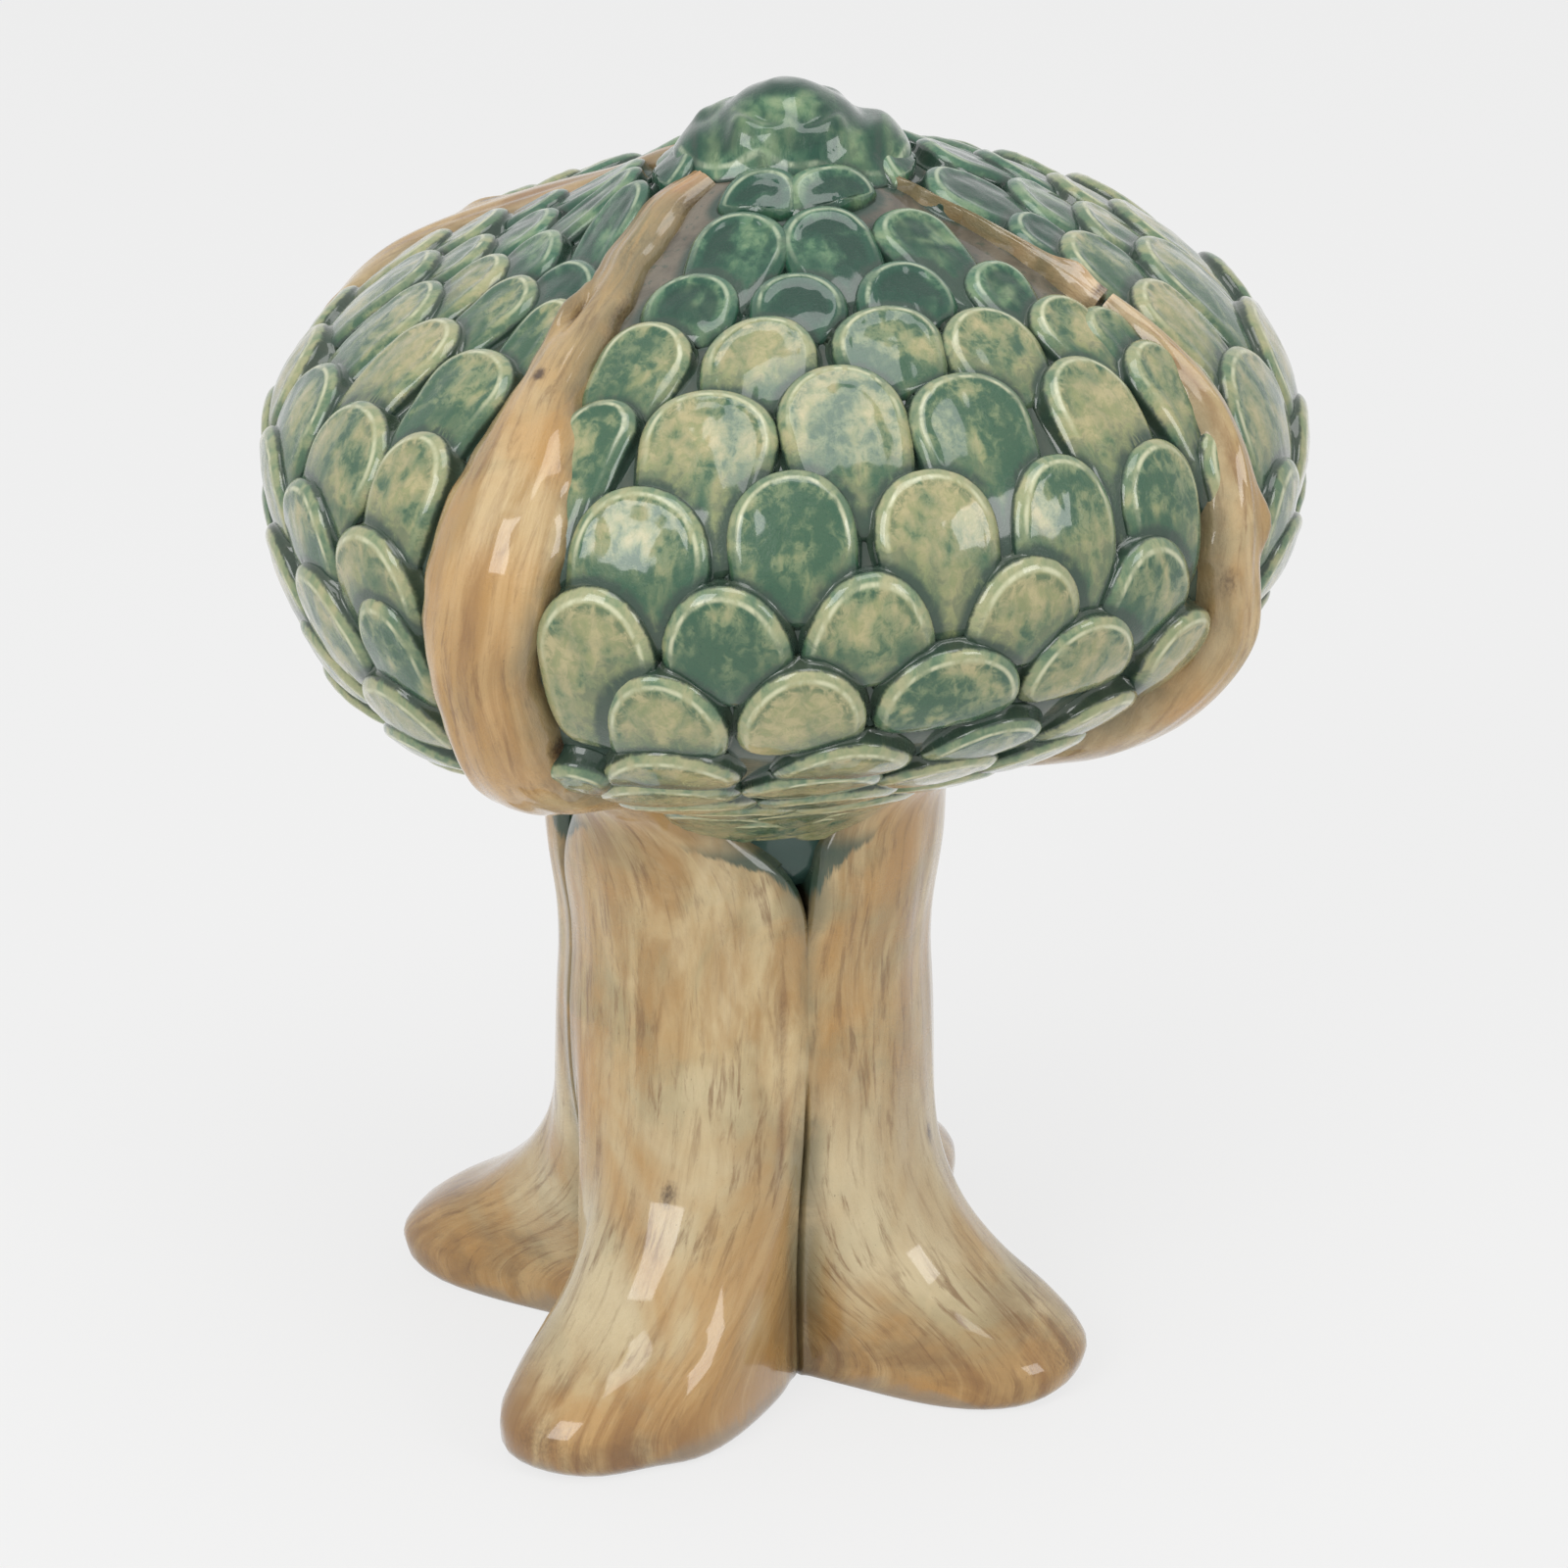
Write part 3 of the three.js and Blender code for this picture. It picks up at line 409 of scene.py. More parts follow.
def sheetPiece(name, part, start, stop, inner, glaze):
    # the sheet's rows from start to stop, closed by an inner sheet and walls round its edges
    outer = part["sheet"][start:stop]
    rows, columns = outer.shape[:2]
    count = rows * columns
    faces = gridQuads(rows, columns)
    grid = np.arange(count).reshape(rows, columns)
    walls = []
    for line, turned in ((grid[:, 0], True), (grid[:, -1], False), (grid[0], False), (grid[-1], True)):
        wall = np.stack([line[:-1], line[1:], line[1:] + count, line[:-1] + count], -1)
        walls.append(wall[:, ::-1] if turned else wall)
    quads = np.concatenate([faces, (faces + count)[:, ::-1], *walls])
    points = np.concatenate([outer.reshape(-1, 3), inner.reshape(-1, 3)])
    # the walls are flat, so that the glazed face keeps the whole limb's own normals
    corner = points[quads]
    flat = np.cross(corner[:, 2] - corner[:, 0], corner[:, 3] - corner[:, 1])
    flat /= np.linalg.norm(flat, axis=1)[:, None] + 1e-9
    loopNormals = np.repeat(flat, 4, axis=0)
    loopNormals[:len(faces) * 4] = part["normals"][start:stop].reshape(-1, 3)[faces.ravel()]
    grain = part["grain"][start:stop].reshape(-1, 3)
    marks = {"grain": np.concatenate([grain, grain])}
    for key, values in part["painted"].items():
        values = values[start:stop].reshape(-1)
        marks[key] = np.concatenate([values, values if key != "seam" else 0 * values])
    piece = makePiece(name, points, quads, [], glaze, marks)
    piece.data.polygons.foreach_set("use_smooth", np.arange(len(quads)) < 2 * len(faces))
    piece.data.normals_split_custom_set([tuple(n) for n in loopNormals])


def stemPiece(part, glaze):
    outer = part["sheet"][:part["rows"]]
    offset = np.array([crownBody["trunkOffset"], 0])
    flatPlace = outer[..., :2] - offset
    radius = np.linalg.norm(flatPlace, axis=2)
    bore = np.maximum(stemShape["bore"], radius - stemShape["wall"])
    bore = np.where(outer[..., 2] > stemShape["socket"][0], stemShape["socket"][1], bore)
    inner = outer.copy()
    inner[..., :2] = offset + flatPlace * (bore / radius)[..., None]
    sheetPiece(part["limb"]["name"] + "_stem_glazed", part, 0, part["rows"], inner, glaze)


def branchPiece(part, glaze, start, stop, name):
    places = part["places"][start:stop, None]
    left, right = limbEdges(part["limb"], places)
    direction = (left + right) / 2 + (right - left) / 2 * branchShape["bedShare"] * part["t"]
    inner = crownPoint(places, direction, -branchShape["sink"] - 0.4)
    inner[0, :, 2] = np.minimum(inner[0, :, 2], part["sheet"][start, :, 2])
    sheetPiece(name, part, start, stop, inner, glaze)


# Leaf pads: rows with their tips up, each row lapping the one above it

# Each row's place of the tips and leaves in a panel, then how far its tips stand over the row above, its
# height at the base, and the depth of its hollow
leafRows = [
    (0.15, 2, 2.6, 2.2, 0.8), (0.22, 3, 2.7, 2.4, 0.9), (0.365, 4, 2.9, 2.6, 0.9), (0.46, 5, 3.3, 2.8, 0.8),
    (0.58, 5, 3.6, 3, 0.7), (0.775, 5, 3.9, 3, 0.4), (0.93, 5, 4, 3, 0.3), (1.06, 5, 4, 2.8, 0.3),
    (1.205, 4, 3.2, 2.6, 0.3), (1.32, 3, 2.6, 2.6, 0.2), (1.45, 3, 2.4, 2.6, 0.2), (1.58, 1, 2.4, 2.6, 0.2),
]
# The panel between the front and right branches, leaf by leaf: direction of its middle in degrees, width,
# how far its tip hangs below the row's and how much longer it is, in millimetres
frontLeaves = [
    [(-12, 22, -3), (24, 25, -3)],
    [(-14, 25, 1), (14, 25, 0), (40, 22, 7)],
    [(-20, 25, 0), (3, 25, 0), (26, 27, 1), (46, 19, 10)],
    [(-24, 25, 4), (-4, 29, 1), (18, 28, 0), (35, 26, 8), (50, 21, 13), (56, 17, 22)],
    [(-25, 19, 12), (-10, 33, 6), (8, 31, 0), (25, 32, 8), (43, 27, 13), (56, 20, 17)],
    [(-16, 34, 4), (1, 31, -1), (17, 31, 2), (32, 29, 5), (46, 26, 8), (58, 20, 12)],
    [(-20, 30, 3, 14), (-6, 32, 1), (9, 33, -1), (26, 30, -1), (42, 30, 2)],
    [(-13, 31, 2), (2, 31, -1), (18, 36, -4), (34, 33, -5), (48, 24, 3)],
    [(-25, 22, 11), (-13, 34, 3, 4), (8, 34, 1), (25, 31, 0), (40, 28, 2)],
    [(-14, 36, 1), (6, 36, 0), (23, 33, 1), (38, 30, 2)],
    [(-12, 38, 1), (11, 38, 0), (31, 34, 2)],
    [(-4, 38, 0), (21, 38, 1), (-8, 28, 15), (12, 32, 14), (29, 26, 16), (2, 24, 27, -16), (20, 24, 28, -17)],
]
leafPad = {
    "lastRowEnd": 1.84, "rowLap": 0.55, "firstRowLift": 4.2, "frontWidths": 1.04,
    "branchClearance": 0.8, "intoBranch": 2.5, "narrowLeaf": 0.66, "widthWander": 0.09,
    "tipWander": 0.07, "padWidth": 1.01, "tipPower": 2.03, "basePower": 3.8, "baseNarrowing": 0.08,
    "edgeWidth": 3.6, "edgeDrop": 2.2, "rimBand": (3, 6.5), "swell": 2, "seat": 0.35, "spokes": 84,
    "longestTip": 20.5, "leastRadius": 8, "topBasePower": 2.6, "tilt": 4,
}
rimSteps = [0, 0.07, 0.25, 0.55, 0.95, 1.4, 1.95, 2.6, 3.3, 4.1, 4.9, 5.8]
innerShares = [0.82, 0.64, 0.46, 0.3, 0.15]
skirtSteps = ((0.28, 0.12), (0.55, 0.4), (0.8, 0.9), (1, 1.9))      # a glazed fillet: share down, and out


def layRows():
    rows = []
    for k, (tip, leaves, rise, base, dish) in enumerate(leafRows):
        nextTip = end = leafPad["lastRowEnd"]
        if k + 1 < len(leafRows):
            nextTip = leafRows[k + 1][0]
            end = nextTip + leafPad["rowLap"] * (nextTip - tip)
        below = leafPad["firstRowLift"]
        if rows:
            above = rows[-1]
            below = mixed(above["top"], above["base"], (tip - above["tip"]) / (above["end"] - above["tip"]))
        rows.append({"tip": tip, "end": end, "next": nextTip, "leaves": leaves, "top": below + rise,
                     "base": base, "dish": dish})
    return rows


rows = layRows()


def panelEdges(panel, place):
    first, second = limbs[panel], limbs[(panel + 1) % 4]
    clear = leafPad["branchClearance"] / bodyRadius(place)
    a, b = branchDirection(first, place), branchDirection(second, place)
    b = np.where(b < a, b + 2 * np.pi, b)
    return a + branchHalf(first, place) + clear, b - branchHalf(second, place) - clear


def leafShares(panel, row):   # of the panel's width, one of the end leaves being narrow in a long row
    count = rows[row]["leaves"]
    shares = 1 + leafPad["widthWander"] * wander(np.arange(count) + panel * 7, row)
    if count > 3:
        shares[0 if row % 2 == 0 else -1] *= leafPad["narrowLeaf"]
    return shares / sum(shares)


def leafSeats(panel, row, tipRun, spacing):    # each leaf's middle, half width, hang and extra length
    if panel == 0:
        return [(middle, width / 2 * leafPad["frontWidths"], hang, sum(longer))
                for middle, width, hang, *longer in frontLeaves[row]]
    seats = []
    ends = np.append(0, np.cumsum(leafShares(panel, row)))
    for k in range(len(ends) - 1):
        toWidest = 15.0
        for _ in range(4):
            widest = placeAt(tipRun + toWidest)
            low, high = panelEdges(panel, widest)
            panelWidth = (high - low) * bodyRadius(widest)
            into = leafPad["intoBranch"] / panelWidth
            left = ends[k] - (into if k == 0 else 0)
            right = ends[k + 1] + (into if k == len(ends) - 2 else 0)
            half = (right - left) / 2 * panelWidth * leafPad["padWidth"]
            toWidest = half
        hang = leafPad["tipWander"] * spacing * wander(k * 3 + panel, row + 5)
        middle = (left + right) / 2
        hang += 7 * abs(middle - 0.5) * smooth(3.5 - abs(row - 3.5), 0, 2) - (3 if row == 0 else 0)
        seats.append((middle, half, hang, 0))
    return seats


def makePads(panel, row):
    level = rows[row]
    tipRun, endRun = runAt(level["tip"]), runAt(level["end"])
    spacing = runAt(level["next"]) - tipRun
    spokes = np.linspace(-np.pi, np.pi, leafPad["spokes"], endpoint=False)
    sine, cosine = np.sin(spokes), np.cos(spokes)
    pads = []
    for k, (middle, half, hang, longer) in enumerate(leafSeats(panel, row, tipRun, spacing)):
        toWidest = min(half * 1.12, spacing * 1.12, leafPad["longestTip"])
        toBase = endRun - tipRun - toWidest + min(hang, 3) + longer
        seed = panel * 37 + row * 11 + k * 5
        basePower = leafPad["basePower"] if row > 2 else leafPad["topBasePower"]
        upper, lower = ((np.abs(sine / half)**power + np.abs(cosine / length)**power)**(-1 / power)
                        for length, power in ((toWidest, leafPad["tipPower"]), (toBase, basePower)))
        reach = np.where(cosine > 0, upper, lower)
        reach = reach * (1 + 0.022 * np.sin(2 * spokes + seed) + 0.016 * np.sin(3 * spokes + 2 * seed))
        x, y = reach * sine, -reach * cosine
        x = x * (1 - leafPad["baseNarrowing"] * np.clip(y / toBase, 0, 1)**1.3)
        tilt = math.radians(leafPad["tilt"]) * wander(k + 2, seed)
        x, y = x * math.cos(tilt) - y * math.sin(tilt), x * math.sin(tilt) + y * math.cos(tilt)
        angle = np.arctan2(x, -y)
        order = np.argsort(angle)
        x, y, angle = x[order], y[order], angle[order]
        reach = np.hypot(x, y)
        edge = np.stack([np.roll(x, -1) - np.roll(x, 1), np.roll(y, -1) - np.roll(y, 1)])
        edge /= np.hypot(*edge)
        square = np.abs(x * edge[1] - y * edge[0]) / reach
        pads.append({"panel": panel, "row": row, "middle": middle, "half": half, "angle": angle,
                     "reach": reach, "square": square, "length": toWidest + toBase,
                     "tipRun": tipRun + hang, "centreRun": tipRun + toWidest + hang,
                     "lift": 0.3 * wander(seed, 3), "swell": leafPad["swell"] * min(1, half / 14),
                     "tone": 0.5 + 0.34 * wander(seed, 9) + 0.045 * (6 - row)})
    return pads


def padMiddle(pad, place):    # direction of the pad's middle line
    if pad["panel"] == 0:
        return math.radians(pad["middle"]) + 0 * place
    low, high = panelEdges(pad["panel"], place)
    nearTop = smooth(place, 0.5, 0.22)           # there the leaves keep clear of the hand-laid edges
    first, second = limbs[pad["panel"]], limbs[(pad["panel"] + 1) % 4]
    low, high = low + nearTop * edgeTurn(first, place, 2), high + nearTop * edgeTurn(second, place, 1)
    return low + pad["middle"] * (high - low)


def padPlace(pad, x, y):      # place and direction of a point of the pad, from its own millimetres
    place = placeAt(pad["centreRun"] + y)
    return place, padMiddle(pad, place) + x / np.maximum(bodyRadius(place), leafPad["leastRadius"])


def padTop(pad, place, share, reach, square):
    level = rows[pad["row"]]
    rim = (1 - share) * reach * square
    down = np.clip((runAt(place) - pad["tipRun"]) / pad["length"], -0.1, 1.1)
    line = mixed(level["top"], level["base"], down)
    edge = np.clip(1 - rim / leafPad["edgeWidth"], 0, 1)
    rounded = leafPad["edgeDrop"] * (1 - np.sqrt(1 - edge**2))
    dish = level["dish"] * smooth(rim, *leafPad["rimBand"]) * smooth(down, 0.9, 0.3)
    return line + pad["lift"] - rounded - dish + pad["swell"] * (1 - share**2)


slipBed = [[0, 0.3], [0.12, 0.4], [0.2, 0.8], [0.4, 1.4], [0.8, 1.8], [1.72, 1.8], [1.88, 2.2], [2, 2]]


def coverHeight(pads, place, direction):      # height of these pads, or of the slip bed beside them
    run = runAt(place)
    height = along(slipBed, place)
    radius = np.maximum(bodyRadius(place), leafPad["leastRadius"])
    for pad in pads:
        x, y = (direction - padMiddle(pad, place)) * radius, run - pad["centreRun"]
        angle = np.arctan2(x, -y)
        reach = np.interp(angle, pad["angle"], pad["reach"], period=2 * np.pi)
        square = np.interp(angle, pad["angle"], pad["square"], period=2 * np.pi)
        share = np.hypot(x, y) / reach
        top = padTop(pad, place, np.minimum(share, 1), reach, square)
        height = np.where(share < 1, np.maximum(height, top), height)
    return height


def padMesh(pad, above):
    angle, reach, square = (pad[key] for key in ("angle", "reach", "square"))
    shares = [1 - step / (reach * square) for step in rimSteps]
    shares += [shares[-1] * inner for inner in innerShares]
    shares = np.clip(np.array(shares[::-1]), 0.02, 1)
    x, y = shares * reach * np.sin(angle), -shares * reach * np.cos(angle)
    place, direction = padPlace(pad, x, y)
    top = padTop(pad, place, shares, reach, square)
    top += 0.12 * ripple(x / 3 + pad["tone"] * 40, y / 3 + pad["row"]) * smooth((1 - shares) * reach, 0.5, 3)
    down, out = np.array(skirtSteps).T[..., None]
    footX, footY = (reach + out) * np.sin(angle), -(reach + out) * np.cos(angle)
    ground = coverHeight(above, *padPlace(pad, footX, footY)) - leafPad["seat"]
    ground = np.minimum(ground, top[-1] - 0.2)
    x, y = np.concatenate([x, footX]), np.concatenate([y, footY])
    rim = np.concatenate([(1 - shares) * reach * square, 0 * footX - down])
    place, direction = padPlace(pad, x, y)
    points = crownPoint(place, direction, np.concatenate([top, mixed(top[-1], ground, down)]))
    flat = crownPoint(place, direction, 0)
    middle = padPlace(pad, np.zeros(1), np.zeros(1))
    middleTop = padTop(pad, middle[0], np.zeros(1), reach[:1], square[:1])
    under = np.minimum(coverHeight(above, *middle) - leafPad["seat"], middleTop - 1)
    middles = crownPoint(*middle, np.concatenate([middleTop, under]))
    quads, triangles = closedRings(*x.shape)
    level = 50 * pad["tone"]          # gives each leaf its own part of the glaze's clouds
    padSpot = np.stack([x, y, 0 * x + level], -1).reshape(-1, 3)
    return {"points": np.concatenate([points.reshape(-1, 3), middles]), "quads": quads, "triangles": triangles,
            "rim": np.append(rim, [pad["half"], -1]), "tone": np.full(x.size + 2, pad["tone"]),
            "spot": np.concatenate([padSpot, [[0, 0, level]] * 2]),
            "flat": np.concatenate([flat.reshape(-1, 3), middles]), "outline": flat[len(shares) - 1]}


farAway = 30


def nearest(points, targets):                  # distance from each point to the nearest target
    if len(targets) == 0:
        return np.full(len(points), farAway)
    tree = KDTree(len(targets))
    for k, spot in enumerate(targets):
        tree.insert(spot, k)
    tree.balance()
    return np.array([min(tree.find(spot)[2], farAway) for spot in points])


# Glazes

def glazeColour(code):
    parts = [int(code[k:k + 2], 16) / 255 for k in (0, 2, 4)]
    return [p / 12.92 if p <= 0.04045 else ((p + 0.055) / 1.055)**2.4 for p in parts] + [1]


def addNode(tree, kind, inputs=None, **settings):
    node = tree.nodes.new("ShaderNode" + kind)
    for key, value in settings.items():
        setattr(node, key, value)
    for key, value in (inputs or {}).items():
        if isinstance(value, bpy.types.NodeSocket):
            tree.links.new(value, node.inputs[key])
        else:
            node.inputs[key].default_value = value
    return node


def chained(tree, operation, first, *others):  # one Math node for each further value
    for other in others:
        first = addNode(tree, "Math", {0: first, 1: other}, operation=operation).outputs[0]
    return first


class Glaze:                  # a glazed clay, its colours brushed one over another
    def __init__(self, name, look):
        self.material = bpy.data.materials.new(name)
        self.material.use_nodes = True
        self.tree = self.material.node_tree
        self.look = look
        self.colour = None

    def mark(self, name, output="Fac"):
        return addNode(self.tree, "Attribute", attribute_name=name).outputs[output]

    def spotAndHeight(self):
        spot = addNode(self.tree, "TexCoord").outputs["Object"]
        return spot, addNode(self.tree, "SeparateXYZ", {0: spot}).outputs["Z"]

    def cloud(self, vector, scale, detail, rough, warp=0, shift=(0, 0, 0)):
        if not isinstance(scale, (int, float)):
            inputs = {"Vector": vector, "Scale": scale, "Location": shift}
            vector, scale = addNode(self.tree, "Mapping", inputs).outputs[0], 1
        inputs = {"Vector": vector, "Scale": scale, "Detail": detail, "Roughness": rough, "Distortion": warp}
        return addNode(self.tree, "TexNoise", inputs).outputs["Fac"]

    def ramp(self, value, low, high, toLow=0.0, toHigh=1.0):
        inputs = {"Value": value, "From Min": low, "From Max": high, "To Min": toLow, "To Max": toHigh}
        return addNode(self.tree, "MapRange", inputs, interpolation_type="SMOOTHSTEP").outputs["Result"]

    def plus(self, *values):
        return chained(self.tree, "ADD", *values)

    def times(self, *values):
        return chained(self.tree, "MULTIPLY", *values)

    def wash(self, share, under, over):        # colours by their names in the look, or made by nodes
        under, over = (glazeColour(self.look[c]) if isinstance(c, str) else c for c in (under, over))
        return addNode(self.tree, "Mix", {0: share, 6: under, 7: over}, data_type="RGBA").outputs[2]

    def coat(self, over, *shares):             # a share in brackets is a ramp
        shares = [self.ramp(*share) if isinstance(share, tuple) else share for share in shares]
        self.colour = self.wash(self.times(*shares), self.colour, over)

    def finish(self, rough, height, depth):
        tree, surface = self.tree, self.tree.nodes["Principled BSDF"]
        bump = addNode(tree, "Bump", {"Height": height, "Distance": depth, "Strength": 0.5}).outputs[0]
        for socket, key in ((self.colour, "Base Color"), (rough, "Roughness"), (bump, "Normal")):
            tree.links.new(socket, surface.inputs[key])
        for key, value in glazeGloss.items():
            surface.inputs[key].default_value = value
        return self.material


glazeGloss = {"IOR": 1.5, "Specular IOR Level": 0.15, "Coat Weight": 0.9, "Coat Roughness": 0.07,
              "Coat IOR": 1.5}
leafGlazes = {
    "leaf_glaze": {
        "cream": "AAA178", "straw": "8A8E62", "green": "607B59", "deep": "2A523D", "pool": "214637",
        "flange": "748C6D", "paleFlange": "9DA481", "crestGlazeAndHighlight": "C9C9A7", "creviceGlazeAndShade": "2E4338", "side": "2C3F36",
        "greenCover": (0.36, 0.6), "deepCover": (0.48, 0.66), "deepShare": 0.85, "poolCover": 0.15},
    "dark_leaf_glaze": {
        "cream": "859672", "straw": "67825D", "green": "32664B", "deep": "104332", "pool": "083427",
        "flange": "45705A", "paleFlange": "83987A", "crestGlazeAndHighlight": "ACB89B", "creviceGlazeAndShade": "2E4338", "side": "2C3F36",
        "greenCover": (0.30, 0.54), "deepCover": (0.42, 0.62), "deepShare": 0.9, "poolCover": 0.8},
}


def leafGlaze(name):
    look = leafGlazes[name]
    glaze = Glaze(name, look)
    cloud, ramp, plus, times, coat = glaze.cloud, glaze.ramp, glaze.plus, glaze.times, glaze.coat
    spot = glaze.mark("spot", "Vector")
    rim, pool, tone = (glaze.mark(key) for key in ("rim", "pool", "tone"))
    blotch = cloud(spot, (0.085, 0.07, 1), 2, 0.5, 0.6)
    brush = cloud(spot, (0.26, 0.14, 1), 3, 0.5, 0.6, (3, 8, 0))
    mottle = cloud(spot, (0.3, 0.27, 1), 5, 0.65, 0.5, (9, 2, 4))
    fine = cloud(spot, (1.3, 1.2, 1), 3, 0.6, 0, (5, 5, 5))
    field = plus(times(brush, 0.35), times(blotch, 0.65), ramp(tone, 0, 1, -0.11, 0.09))
    glaze.colour = glaze.wash(ramp(mottle, 0.36, 0.66), "cream", "straw")
    coat("green", (field, *look["greenCover"]), 0.82)
    coat("deep", (plus(field, ramp(mottle, 0.3, 0.7, -0.08, 0.08)), *look["deepCover"]), look["deepShare"])
    coat("pool", (rim, 4.2, 6.0), (blotch, 0.34, 0.56), look["poolCover"])
    coat("pool", (fine, 0.6, 0.7), (field, 0.42, 0.6, 0.05, 0.6))
    # the raised rim, fading towards the base, with glaze pooled inside it; its pale crest is partly thin glaze
    # and partly painted highlight on the upper arch
    towardsTip = ramp(addNode(glaze.tree, "SeparateXYZ", {0: spot}).outputs["Y"], 8, -7, 0.12, 1)
    flange = glaze.wash(ramp(brush, 0.36, 0.6), "paleFlange", "flange")
    coat(flange, (plus(rim, ramp(mottle, 0.3, 0.7, -0.8, 0.8)), 4.2, 2.6), towardsTip, 0.4)
    coat("deep", (rim, 3.3, 4.1), (rim, 6.4, 4.4), (mottle, 0.38, 0.62, 0, 0.6), towardsTip)
    coat("crestGlazeAndHighlight", (rim, 1.9, 2.7), (rim, 3.7, 2.9), (brush, 0.34, 0.62, 0.1, 0.8), towardsTip)
    # darker where the next leaf meets this one and down its side: partly glaze pooled there, partly painted
    # shade in the crevice
    uneven = ramp(mottle, 0.3, 0.7, -0.5, 0.5)
    coat("deep", (plus(pool, times(uneven, 6)), 7.5, 2.5, 0, 0.6))
    coat("creviceGlazeAndShade", (plus(pool, uneven), 3.1, 1.1), 0.92)
    coat("side", (plus(rim, times(uneven, 0.5)), 0.75, 0.05), 0.92)
    return glaze.finish(ramp(mottle, 0.3, 0.7, 0.16, 0.3), plus(mottle, fine), 0.0004)


woodLook = {
    "sand": "BEA578", "tan": "A58454", "branchSand": "C2AA80", "branchTan": "A4875A", "olive": "8F8967",
    "ochre": "B5833F", "pale": "D6C49C", "root": "CFC19F", "umber": "7A5A36", "warmDusk": "A87C58",
    "greenDusk": "66705A", "rust": "805C38", "speck": "57432C", "edge": "736B50", "seam": "3A3024",
    "greenRun": "2C4A40", "foot": "8A8172", "toe": "7A5630", "stain": "3B2516", "runFoot": 0.152,
}


def woodGlaze(name):
    glaze = Glaze(name, woodLook)
    cloud, ramp, plus, times, coat = glaze.cloud, glaze.ramp, glaze.plus, glaze.times, glaze.coat
    grain = glaze.mark("grain", "Vector")
    seam, rust, stain = (glaze.mark(key) for key in ("seam", "rust", "stain"))
    spot, height = glaze.spotAndHeight()
    streak = cloud(grain, (0.075, 0.014, 1), 6, 0.62, 0.9)
    brush = cloud(grain, (0.34, 0.045, 1), 5, 0.68, 0.5, (4, 9, 2))
    patch = cloud(spot, 24, 5, 0.6, 1)
    blush = cloud(spot, (17, 17, 10.2), 4, 0.6, 0.8, (6.8, 1.7, 3.4))
    fine = cloud(grain, (1.2, 0.7, 1), 4, 0.65, 0, (1, 1, 7))
    onBranch = ramp(height, 0.15, 0.205)
    sand = glaze.wash(onBranch, "sand", "branchSand")
    glaze.colour = glaze.wash(ramp(streak, 0.38, 0.6), sand, glaze.wash(onBranch, "tan", "branchTan"))
    coat("olive", (patch, 0.45, 0.68), (onBranch, 0, 1, 0.55, 0.45))
    coat("ochre", (blush, 0.45, 0.64), (onBranch, 0, 1, 0.5, 0.45))
    coat("pale", (blush, 0.48, 0.3), (brush, 0.3, 0.6, 0.3, 0.8))
    coat("root", (height, 0.11, 0.06), (height, 0.015, 0.04), (blush, 0.62, 0.42, 0.1, 0.6))
    coat("umber", (brush, 0.48, 0.68), (patch, 0.35, 0.62, 0.2, 0.75))
    dusk = glaze.wash(ramp(blush, 0.42, 0.62), "warmDusk", "greenDusk")
    coat(dusk, (height, 0.3, 0.345), (brush, 0.3, 0.6, 0.25, 0.7))
    coat("rust", rust, (streak, 0.36, 0.6, 0.1, 0.8))
    coat("speck", (fine, 0.64, 0.72), (patch, 0.4, 0.6, 0.15, 0.6))
    # painted shade along the stems' seams and the branches' edges, uneven with the patches, darkest in the
    # seams' cuts
    coat("edge", (seam, 9.0, 1.5), (patch, 0.35, 0.6, 0.2, 0.8))
    coat("seam", (seam, 1.3, 0.3), (brush, 0.35, 0.6, 0.5, 1), 0.9)
    # green glaze that ran down beside the seams at the neck
    run = times(chained(glaze.tree, "SUBTRACT", woodLook["runFoot"], height), 700)
    run = plus(seam, run, ramp(brush, 0.3, 0.7, -2, 2))
    coat("greenRun", (run, 1.5, -1.5), (height, 0.172, 0.165), 0.85)
    coat("foot", (plus(height, ramp(patch, 0.3, 0.7, -0.004, 0.004)), 0.007, 0.001), 0.65)
    coat("toe", (height, 0.038, 0.012), (patch, 0.5, 0.66), (streak, 0.35, 0.6, 0.2, 0.6))
    coat("stain", (plus(stain, ramp(fine, 0.3, 0.7, -0.12, 0.12)), 0.15, 1.0), 0.9)
    return glaze.finish(ramp(patch, 0.3, 0.7, 0.18, 0.34), plus(brush, fine), 0.0005)


clayLook = {"clay": "6F675A", "brown": "565046", "speck": "3A4B41", "green": "465548", "creviceGlazeAndShade": "33453C",
            "low": "2A4740"}


def clayGlaze():
    glaze = Glaze("crown_clay", clayLook)
    ramp, coat = glaze.ramp, glaze.coat
    spot, height = glaze.spotAndHeight()
    patch, fine = glaze.cloud(spot, 55, 4, 0.6, 0.6), glaze.cloud(spot, 420, 3, 0.6)
    glaze.colour = glaze.wash(ramp(patch, 0.4, 0.62), "clay", "brown")
    coat("speck", (fine, 0.56, 0.68), 0.6)
    coat("green", (height, 0.335, 0.29), (patch, 0.35, 0.6, 0.55, 0.95))
    # painted shade, with glaze pooled, on the slip bed beside the leaves' outlines
    coat("creviceGlazeAndShade", (glaze.mark("pool"), 4.2, 1.2))
    coat("low", (height, 0.235, 0.205), 0.9)
    return glaze.finish(ramp(patch, 0.3, 0.7, 0.25, 0.45), glaze.plus(patch, fine), 0.0006)


# Camera, floor and light

